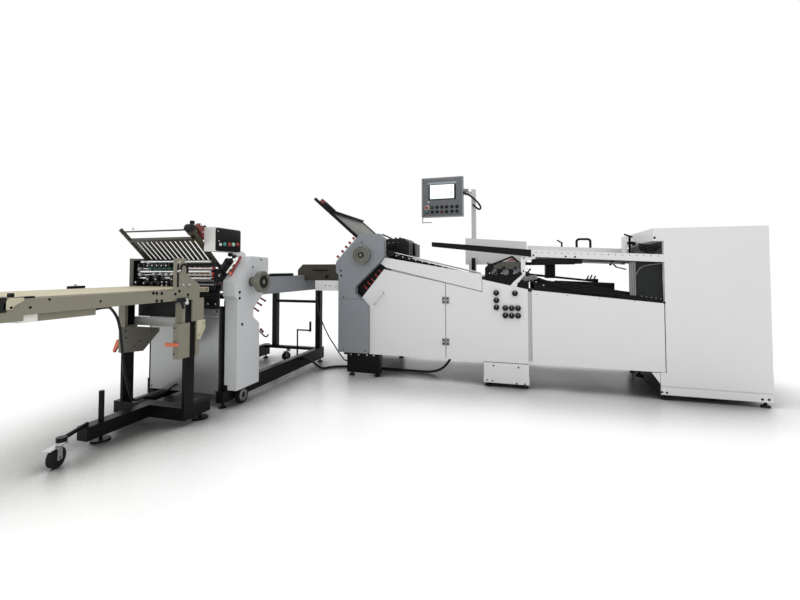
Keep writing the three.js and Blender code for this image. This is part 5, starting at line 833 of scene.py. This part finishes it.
# Painted shade: a dark sheet behind the bars, deep inside the unit.
mesh = bmesh.new()
block(mesh, (-1168, -1262, 905), (-462, -1258, 1128), 0.5)
piece("delivery_shade", mesh, dark_and_painted_shade)
bar_end, clamp_front = -470, -1352
mesh = bmesh.new()
bar(mesh, (-1122, -1306, 1112), (bar_end, -1306, 1112), 11)
bar(mesh, (-1156, -1305, 1037), (bar_end, -1305, 1037), 12)
bar(mesh, (-1156, -1305, 987), (bar_end, -1305, 987), 9)
bar(mesh, (-1150, -1294, 1060), (bar_end, -1294, 1060), 7)
bar(mesh, (-1150, -1294, 1012), (bar_end, -1294, 1012), 6)
piece("delivery_bars", mesh, bright_steel)
mesh = bmesh.new()
for x in (-1013, -968, -923, -878, -835):
    plate(mesh, [(x - 20, 1050), (x + 12, 1050), (x + 22, 1074), (x + 8, 1100), (x - 14, 1100)], "y", -1322,
          -1290, 2)
piece("green_clamps", mesh, green_paint)
mesh = bmesh.new()
for x in (-1140, -1000, -933, -878, -823, -768):
    bar(mesh, (x - 10, -1301, 1016), (x + 12, -1301, 1016), 15, 24, 2)
bar(mesh, (-1154, -1302, 1058), (-1134, -1302, 1058), 14, 24, 2)
bar(mesh, (-1062, -1302, 1108), (-1040, -1302, 1108), 16, 24, 2)
piece("pale_wheels", mesh, pale_grey)
mesh = bmesh.new()
for x in (-1100, -1052, -990, -945, -900, -856, -812):
    block(mesh, (x - 12, -1350, 1070), (x + 8, -1316, 1098), 2)
for x in (-1010, -932, -780):
    block(mesh, (x - 17, clamp_front, 948), (x + 17, -1318, 1012), 3)
for x in (-1122, -1040, -970, -904, -865, -821, -776):
    bar(mesh, (x - 13, -1334, 944), (x + 13, -1334, 944), 24, 28, 3)
block(mesh, (-1160, -1346, 905), (-760, -1300, 930), 2)
piece("black_clamps", mesh, black_plastic)
mesh = bmesh.new()
heads(mesh, [(x, clamp_front, z) for x, z in ((-1010, 979), (-932, 980), (-780, 980))], front, 6, 3)
heads(mesh, [(-1122, -1358, 956), (-865, -1358, 959), (-821, -1358, 959), (-864, -1358, 932),
             (-821, -1358, 933), (-1040, -1358, 950)], front, 6, 3)
heads(mesh, [(x, clamp_front, 1084) for x in (-1013, -968, -923, -878, -835)], front, 6, 3)
piece("clamp_screws", mesh, bright_steel)

# End plate of the second unit's frame, cut from olive painted sheet and seen past the conveyor
# on the left.
mesh = bmesh.new()
plate(mesh, [(-1193, 905), (-1160, 905), (-1160, 1124), (-1066, 1126), (-1066, 1138), (-1193, 1138)], "y",
      -1346, -1341, 1)
piece("end_plate", mesh, guide_olive)

# Fold rollers of the second unit with red and white grip rings of rubber along them, and the
# plain steel bars that run under them.

# A second colour laid over a coated one by a mask made from the place along one axis.
def striped(material, axis, pitch, share, colour, offset=0.0, soft=0.08):
    tree, link = material.node_tree, material.node_tree.links.new
    shader = tree.nodes["Principled BSDF"]
    old = shader.inputs["Base Color"].links[0].from_socket
    place, split = add(tree, "TexCoord"), add(tree, "SeparateXYZ")
    turn = add(tree, "Math", {1: 1 / pitch, 2: 100 + offset}, operation="MULTIPLY_ADD")
    part = add(tree, "Math", operation="FRACT")
    mask = add(tree, "MapRange", {"From Min": share - soft / 2, "From Max": share + soft / 2})
    mixed = add(tree, "Mix", {"B": (*colour, 1)}, data_type="RGBA")
    link(place.outputs["Object"], split.inputs[0])
    link(split.outputs[axis], turn.inputs[0])
    link(turn.outputs["Value"], part.inputs[0])
    link(part.outputs["Value"], mask.inputs["Value"])
    link(mask.outputs["Result"], mixed.inputs["Factor"])
    link(old, mixed.inputs["A"])
    link(mixed.outputs["Result"], shader.inputs["Base Color"])
    return material


roller_rubber = striped(coated("roller_rubber", (0.66, 0.60, 0.57), 0.5, vary=0.05), "X", 0.048, 0.55,
                        (0.36, 0.035, 0.03))
dress(roller_rubber, "unit2_fold_roller_1", "unit2_fold_roller_2", "unit2_fold_roller_3")
mesh = bmesh.new()
for z, radius in ((1061, 11), (1021, 11), (993, 7)):
    bar(mesh, (-760, -1272, z), (-468, -1272, z), radius, 24)
piece("ringed_rollers", mesh, roller_rubber)
mesh = bmesh.new()
bar(mesh, (-740, -1275, 967), (-466, -1275, 969), 7)
bar(mesh, (-740, -1275, 940), (-466, -1275, 940), 8)
piece("under_rollers", mesh, dull_steel)

# Setting knobs along the slope of the cover: black plastic grips on a plate, a row of red
# springs, a white rod and one orange tip.
trough_white = coated("trough_white", (0.74, 0.73, 0.68), 0.45, vary=0.03)
orange_plastic = coated("orange_plastic", (0.62, 0.13, 0.06), 0.4, grain=700, height=0.15, vary=0.06)
mesh = bmesh.new()
plate(mesh, [(-1046, 1146), (-1100, 1140), (-1215, 1020), (-1205, 985), (-1150, 985), (-1120, 1010)], "x",
      -505, -470, 3)
for y, z in ((-1085, 1169), (-1036, 1156), (-1124, 1122), (-1070, 1110), (-1189, 1062), (-1149, 1040),
             (-1201, 1012), (-1122, 1064), (-1162, 990)):
    knob(mesh, (-478, y, z), (1, -0.4, 0.5), 16, 22)
piece("slope_grips", mesh, black_plastic)
mesh = bmesh.new()
for i in range(7):
    y, z = -1020 - 17 * i, 1158 - 20 * i
    turned(mesh, (-425, y, z), (0.2, -0.65, -0.75), [(0, 0), (0, 7), (2, 10), (9, 10), (12, 7), (16, 9.5),
                                                     (21, 9.5), (23, 7), (23, 0)], 16)
piece("slope_springs", mesh, red_plastic)
mesh = bmesh.new()
bar(mesh, (-432, -1064, 1134), (-432, -1176, 1026), 6)
piece("slope_rod", mesh, trough_white)
mesh = bmesh.new()
bar(mesh, (-420, -1132, 1012), (-412, -1166, 1030), 9)
piece("slope_tip", mesh, orange_plastic)

# Upper buckle plate of the second unit, painted dark olive, and the stop carriage on its right
# rail: a red painted casting with black knobs and bright pins.
dark_olive = coated("dark_olive", (0.041, 0.038, 0.025), 0.4, grain=1100, height=0.1, vary=0.08, wear=0.12,
                    wear_colour=(0.3, 0.3, 0.26), shine=0.3)
dress(dark_olive, "unit2_upper_buckle")
mesh = bmesh.new()
knob(mesh, (-545, -1413, 1370), (0, 0.1, 1), 17, 36)
bar(mesh, (-575, -1434, 1352), (-520, -1434, 1352), 27, 28, 4)
knob(mesh, (-545, -1312, 1362), (0.1, 1, 0.5), 13, 32)
plate(mesh, [(-1428, 1330), (-1385, 1345), (-1330, 1290), (-1360, 1268)], "x", -580, -560, 3)
piece("carriage_grips", mesh, black_plastic)
mesh = bmesh.new()
plate(mesh, [(-1400, 1365), (-1356, 1396), (-1312, 1362), (-1300, 1322), (-1280, 1290), (-1310, 1272),
             (-1345, 1300), (-1352, 1335)], "x", -556, -520, 5)
turned(mesh, (-520, -1292, 1318), (0, 0.75, -0.6), [(0, 0), (0, 8), (4, 12), (24, 11), (30, 7), (30, 0)], 20)
piece("carriage_body", mesh, red_paint)
mesh = bmesh.new()
heads(mesh, [(-1168, -1350, 1372)], (1, -0.5, 1), 10, 8, 20)
heads(mesh, [(-520, -1356, 1380), (-520, -1330, 1330)], right, 7, 4)
piece("carriage_pins", mesh, bright_steel)

# Control box of the second unit: a white folded box with a rounded black face plate, which
# holds five round plastic buttons and two small lamps.
mint_cap = coated("mint_cap", (0.30, 0.52, 0.40), 0.3, vary=0.06)
dress(panel_white, "unit2_control_box")
mesh = bmesh.new()
box_side = -415
outline = [(-1318, 1202), (-1306, 1190), (-1044, 1190), (-1032, 1202), (-1032, 1352), (-1044, 1364),
           (-1306, 1364), (-1318, 1352)]
plate(mesh, outline, "x", -420.5, box_side, 2.5)
piece("box_face", mesh, satin_black)
for name, y, z, radius, material in (("white_button", -1273, 1240, 10, pale_grey),
                                     ("teal_button", -1226, 1245, 13, teal_cap),
                                     ("red_button", -1172, 1246, 14, red_plastic),
                                     ("mint_button", -1126, 1249, 13, mint_cap),
                                     ("pink_button", -1075, 1252, 13, red_plastic)):
    mesh = bmesh.new()
    turned(mesh, (box_side, y, z), right, [(-0.4, 0), (-0.4, radius + 2), (3, radius + 2), (4, radius),
                                           (9, radius), (10, radius - 2), (10, 0)], 24)
    piece(name, mesh, material)
mesh = bmesh.new()
heads(mesh, [(box_side, -1296, 1340), (box_side, -1286, 1266)], right, 5, 2)
piece("box_lamps", mesh, pale_grey)

# Lower panels of the second unit: silvery sheet steel held by black screws, under a dark plate
# that paints the shade below the rollers.
panel_silver = coated("panel_silver", (0.34, 0.345, 0.35), 0.3, grain=900, height=0.04, vary=0.04,
                      metallic=0.5)
dress(dull_steel, "unit2_lower_panels")
# Painted shade: a dark plate where the unit's underside lies in shade below the rollers.
mesh = bmesh.new()
block(mesh, (-1150, -1199, 752), (-476, -1190, 905), 1)
piece("lower_shade", mesh, dark_and_painted_shade)
sheet_front = -1182.4
mesh = bmesh.new()
block(mesh, (-1146, sheet_front, 99), (-492, -1179.6, 746), 0.6)
piece("panel_sheet", mesh, panel_silver)
mesh = bmesh.new()
heads(mesh, [(x, sheet_front, z) for x in (-1130, -508) for z in (118, 730)], front, 7, 2.5)
heads(mesh, [(-820, sheet_front, 118)], front, 7, 2.5)
piece("sheet_screws", mesh, satin_black)

# Small drive under the rollers, seen between the conveyor and the cover: black castings with
# bright screws and a bright strip.
mesh = bmesh.new()
block(mesh, (-680, -1192, 905), (-470, -1186, 935), 1)
block(mesh, (-590, -1210, 842), (-548, -1186, 880), 4)
bar(mesh, (-660, -1205, 860), (-480, -1205, 860), 14)
block(mesh, (-640, -1215, 770), (-478, -1186, 812), 4)
piece("lower_drive", mesh, black_plastic)
mesh = bmesh.new()
heads(mesh, [(-570, -1210, 868), (-568, -1215, 790), (-500, -1215, 790), (-620, -1215, 790)], front, 8, 4)
spots = ((-546, 735), (-500, 662), (-566, 659), (-700, 735), (-700, 662))
heads(mesh, [(x, sheet_front, z) for x, z in spots], front, 6, 3)
block(mesh, (-690, -1185.5, 690), (-500, -1182, 700), 0.8)
piece("lower_screws", mesh, bright_steel)

# Delivery conveyor: olive painted side rails and bed with a cream fabric belt over them. Black
# holes, a slotted guide, a bent wire and bright fittings sit along its right side.
olive_paint = coated("olive_paint", (0.195, 0.186, 0.139), 0.42, grain=1100, height=0.08, vary=0.04,
                     wear=0.15, wear_colour=(0.5, 0.48, 0.4), shine=0.4)
belt_cream = striped(coated("belt_cream", (0.50, 0.45, 0.31), 0.6, grain=500, height=0.4, vary=0.06), "X",
                     0.118, 0.93, (0.29, 0.26, 0.18), offset=0.3, soft=0.03)
dress(olive_paint, "conveyor_frame")
dress(belt_cream, "conveyor_belt")
rail_side, wire_side = -420, -416
mesh = bmesh.new()
heads(mesh, [(rail_side, y, z) for y, z in ((-2429, 911), (-2508, 880), (-2180, 884))], right, 6, 2)
heads(mesh, [(rail_side, y, z) for y, z in ((-1849, 909), (-1824, 906), (-1787, 904), (-1823, 860),
                                            (-1786, 858))], right, 10, 2, 20)
heads(mesh, [(rail_side, y, z) for y, z in ((-1680, 894), (-1647, 911), (-1573, 884))], right, 10, 2, 20)
block(mesh, (-420.4, -1669, 938), (-418.5, -1654, 1088), 0.5)
wire = ((-1641, 1040), (-1641, 1060), (-1632, 1080), (-1613, 1088), (-1594, 1080), (-1584, 1060),
        (-1584, 1030))
bent(mesh, [(wire_side, y, z) for y, z in wire], 6, 12)
piece("conveyor_holes", mesh, satin_black, "conveyor")
mesh = bmesh.new()
heads(mesh, [(rail_side, -1614, 951), (rail_side, -1650, 1101), (rail_side, -1600, 1101)], right, 9, 5, 20)
bar(mesh, (-414, -1676, 1039), (-414, -1646, 1046), 7)
bar(mesh, (-414, -1585, 952), (-414, -1562, 950), 8)
bar(mesh, (-412, -1596, 862), (-412, -1586, 822), 12)
piece("conveyor_fittings", mesh, bright_steel, "conveyor")

# Latch under the conveyor's bracket plate: black castings with a lever each way, pinned to the
# side of the rail.
latch_line = -408
mesh = bmesh.new()
block(mesh, (-424, -1665, 838), (-404, -1606, 866), 3)
bar(mesh, (latch_line, -1690, 838), (latch_line, -1650, 862), 7)
bar(mesh, (latch_line, -1641, 846), (latch_line, -1622, 796), 9)
bar(mesh, (latch_line, -1606, 848), (latch_line, -1580, 866), 6)
piece("latch", mesh, black_plastic, "conveyor")

# Cream painted plate behind the right sleeve, and the dull screws that hold the bracket box and
# the sleeve.
cream_paint = coated("cream_paint", (0.42, 0.40, 0.28), 0.4, vary=0.04)
mesh = bmesh.new()
plate(mesh, [(-1490, 702), (-1412, 702), (-1412, 640), (-1461, 568), (-1490, 575)], "x", -424, -414, 2)
piece("cream_bracket", mesh, cream_paint, "conveyor")
mesh = bmesh.new()
heads(mesh, [(-414, -1430, 680), (-414, -1476, 600)], right, 7, 3)
heads(mesh, [(-470, -1620, 828), (-470, -1620, 735)], front, 7, 3)
piece("bracket_screws", mesh, dull_steel, "conveyor")
mesh = bmesh.new()
heads(mesh, [(-449, -1655, 670), (-449, -1655, 500)], front, 6, 2.5)
piece("sleeve_screws", mesh, satin_black, "conveyor")

# Orange plastic clamp levers on the sleeves. The left sleeve's bracket has a face of darker olive,
# painted as the shade on it, with black screws, and a black plate paints the shade in the space over the
# cross bar.
dress(orange_plastic, "stand_clamp_lever", "left_clamp_lever")
# Painted shade: a black plate in the space over the cross bar.
mesh = bmesh.new()
block(mesh, (-960, -1471, 714), (-478, -1467, 846), 1)
piece("under_shade", mesh, dark_and_painted_shade, "conveyor")
# Painted shade: a darker olive plate over the bracket, whose face lies in shade.
bracket_front = -1595.5
mesh = bmesh.new()
plate(mesh, [(-985.5, 655.5), (-644.5, 655.5), (-644.5, 634.4), (-783, 491.4), (-975, 465.6)], "y",
      bracket_front, bracket_front + 3.5, 1)
piece("bracket_shade_face", mesh, dark_olive, "conveyor")
mesh = bmesh.new()
spots = ((-930, 622), (-925, 575), (-850, 520), (-800, 560), (-700, 630))
heads(mesh, [(x, bracket_front, z) for x, z in spots], front, 6, 2)
piece("face_screws", mesh, satin_black, "conveyor")
mesh = bmesh.new()
plate(mesh, [(-1024, 552), (-1074, 547), (-1108, 472), (-1106, 455), (-1090, 452), (-1062, 500),
             (-1024, 522)], "y", -1546, -1532, 3)
piece("left_grip", mesh, orange_plastic, "left_clamp")

# Pale strip of perforated sheet over the cross bar, screwed to it at both ends. Its holes are
# shown as low grey discs.
mesh = bmesh.new()
plate(mesh, [(-1000, 652), (-560, 652), (-560, 711), (-1000, 711)], "y", -1492, -1488.2, 0.8)
piece("strip_plate", mesh, pale_grey, "conveyor")
mesh = bmesh.new()
heads(mesh, [(-985 + 14 * i, -1492, 666 + 11 * j) for i in range(30) for j in range(4)], front, 2.6, 0.4, 6)
piece("strip_holes", mesh, unit_grey, "conveyor")

# Near end of the conveyor: a cream cheek plate, black belt clamps, a pale strip with a knob,
# and the white lining of the cable trough. A thin wire comes out of the trough.
mesh = bmesh.new()
plate(mesh, [(-2593, 928), (-2536, 926), (-2536, 910), (-2574, 893), (-2578, 876), (-2614, 878),
             (-2614, 905)], "x", -420.6, -414, 1.5)
piece("cheek_plate", mesh, cream_paint, "conveyor")
mesh = bmesh.new()
heads(mesh, [(-414, -2585, 886)], right, 6, 2)
block(mesh, (-480, -2634, 866), (-414, -2600, 932), 4)
block(mesh, (-456, -2580, 925), (-436, -2560, 948), 3)
block(mesh, (-466, -2540, 922), (-436, -2478, 930), 2)
block(mesh, (-1180, -1825, 921), (-1164, -1711, 942), 2)
piece("end_clamps", mesh, black_plastic, "conveyor")
mesh = bmesh.new()
block(mesh, (-482, -2637, 892), (-414, -2633, 902), 1)
knob(mesh, (-1172, -1774, 942), up, 9, 12)
piece("end_strip", mesh, pale_grey, "conveyor")
mesh = bmesh.new()
plate(mesh, [(-2541, 811), (-2462, 811), (-2462, 848), (-2541, 848)], "x", -541, -443, 1)
piece("trough_end", mesh, trough_white, "conveyor")
mesh = bmesh.new()
bent(mesh, [(-470, -2188, 838), (-470, -2150, 840), (-480, -2110, 846), (-496, -2070, 843),
            (-520, -2040, 832), (-560, -2010, 826), (-606, -1976, 820)], 6, 12)
piece("second_wire", mesh, cable_black)

# Carrier and bridge between the units, in grey and dark olive coated sheet, with a slot, a knob,
# a toothed black strip and a bright rod along the edge.
dress(unit_grey, "cross_carrier")
dress(dark_olive, "transfer_bridge")
mesh = bmesh.new()
block(mesh, (-315, -1, 1040), (-140, 4, 1054), 1)
turned(mesh, (-171, 60, 981), front, [(-60, 0), (-60, 12), (14, 12), (16, 18), (30, 18), (33, 14), (33, 0)],
       24)
heads(mesh, [(-400, -740, 960), (-149, -35, 892), (-99, -35, 890)], front, 6, 2)
for i in range(28):
    block(mesh, (-441, -600 + 15 * i, 992), (-428, -591 + 15 * i, 1008), 0.8)
block(mesh, (-441, -604, 1006), (-426, -178, 1012), 0.8)
piece("bridge_marks", mesh, satin_black)
mesh = bmesh.new()
bar(mesh, (-434, -590, 1016), (-434, -190, 1016), 5)
heads(mesh, [(-33, -35, 885), (-429.7, -640, 900)], front, 7, 3)
piece("carrier_rod", mesh, bright_steel)

# A pale studio floor that runs out into a white background. It is darkened where the machine stands
# close over it, as the soft contact shadow in the photograph is deeper than area lights give.
floor_mesh = bmesh.new()
bmesh.ops.create_grid(floor_mesh, x_segments=1, y_segments=1, size=40)
floor_data = bpy.data.meshes.new("floor")
floor_mesh.to_mesh(floor_data)
floor_mesh.free()
floor = bpy.data.objects.new("floor", floor_data)
floor_material = coated("floor_white", (0.9, 0.9, 0.9), 0.32, grain=60, height=0.02, vary=0.01, edge=0.0005)
floor_tree = floor_material.node_tree
colour = floor_tree.nodes["Principled BSDF"].inputs["Base Color"]
near = add(floor_tree, "AmbientOcclusion", {"Distance": 1.1}, samples=8)
fade = add(floor_tree, "MapRange", {"From Min": 0.42, "From Max": 0.93, "To Min": 0.1, "To Max": 1.15})
darker = add(floor_tree, "VectorMath", operation="SCALE")
floor_tree.links.new(near.outputs["AO"], fade.inputs["Value"])
floor_tree.links.new(colour.links[0].from_socket, darker.inputs[0])
floor_tree.links.new(fade.outputs["Result"], darker.inputs["Scale"])
floor_tree.links.new(darker.outputs["Vector"], colour)
floor_data.materials.append(floor_material)
bpy.context.scene.collection.objects.link(floor)

# A white room all round, so that the floor and the background run into each other.
world = bpy.data.worlds.new("studio")
bpy.context.scene.world = world
world.use_nodes = True
world.node_tree.nodes["Background"].inputs["Color"].default_value = (1, 1, 1, 1)
world.node_tree.nodes["Background"].inputs["Strength"].default_value = 1.0
bpy.context.scene.view_settings.view_transform = "Standard"


# One soft area light: where it stands, what it looks at, its size and its power.
def soft_light(name, place, target, size, power):
    data = bpy.data.lights.new(name, "AREA")
    data.shape = "RECTANGLE"
    data.size, data.size_y = size
    data.energy = power
    lamp = bpy.data.objects.new(name, data)
    lamp.location = place
    lamp.rotation_euler = (Vector(target) - Vector(place)).to_track_quat("-Z", "Y").to_euler()
    bpy.context.scene.collection.objects.link(lamp)


soft_light("top_light", (0.5, 0.2, 5.5), (0, 0.4, 0), (7, 4), 60)
soft_light("front_light", (2.5, -6.5, 3.2), (0, 0, 0.8), (5, 3), 35)
soft_light("left_light", (-6.5, -3.5, 3.0), (-1.5, 0, 0.6), (3, 3), 30)
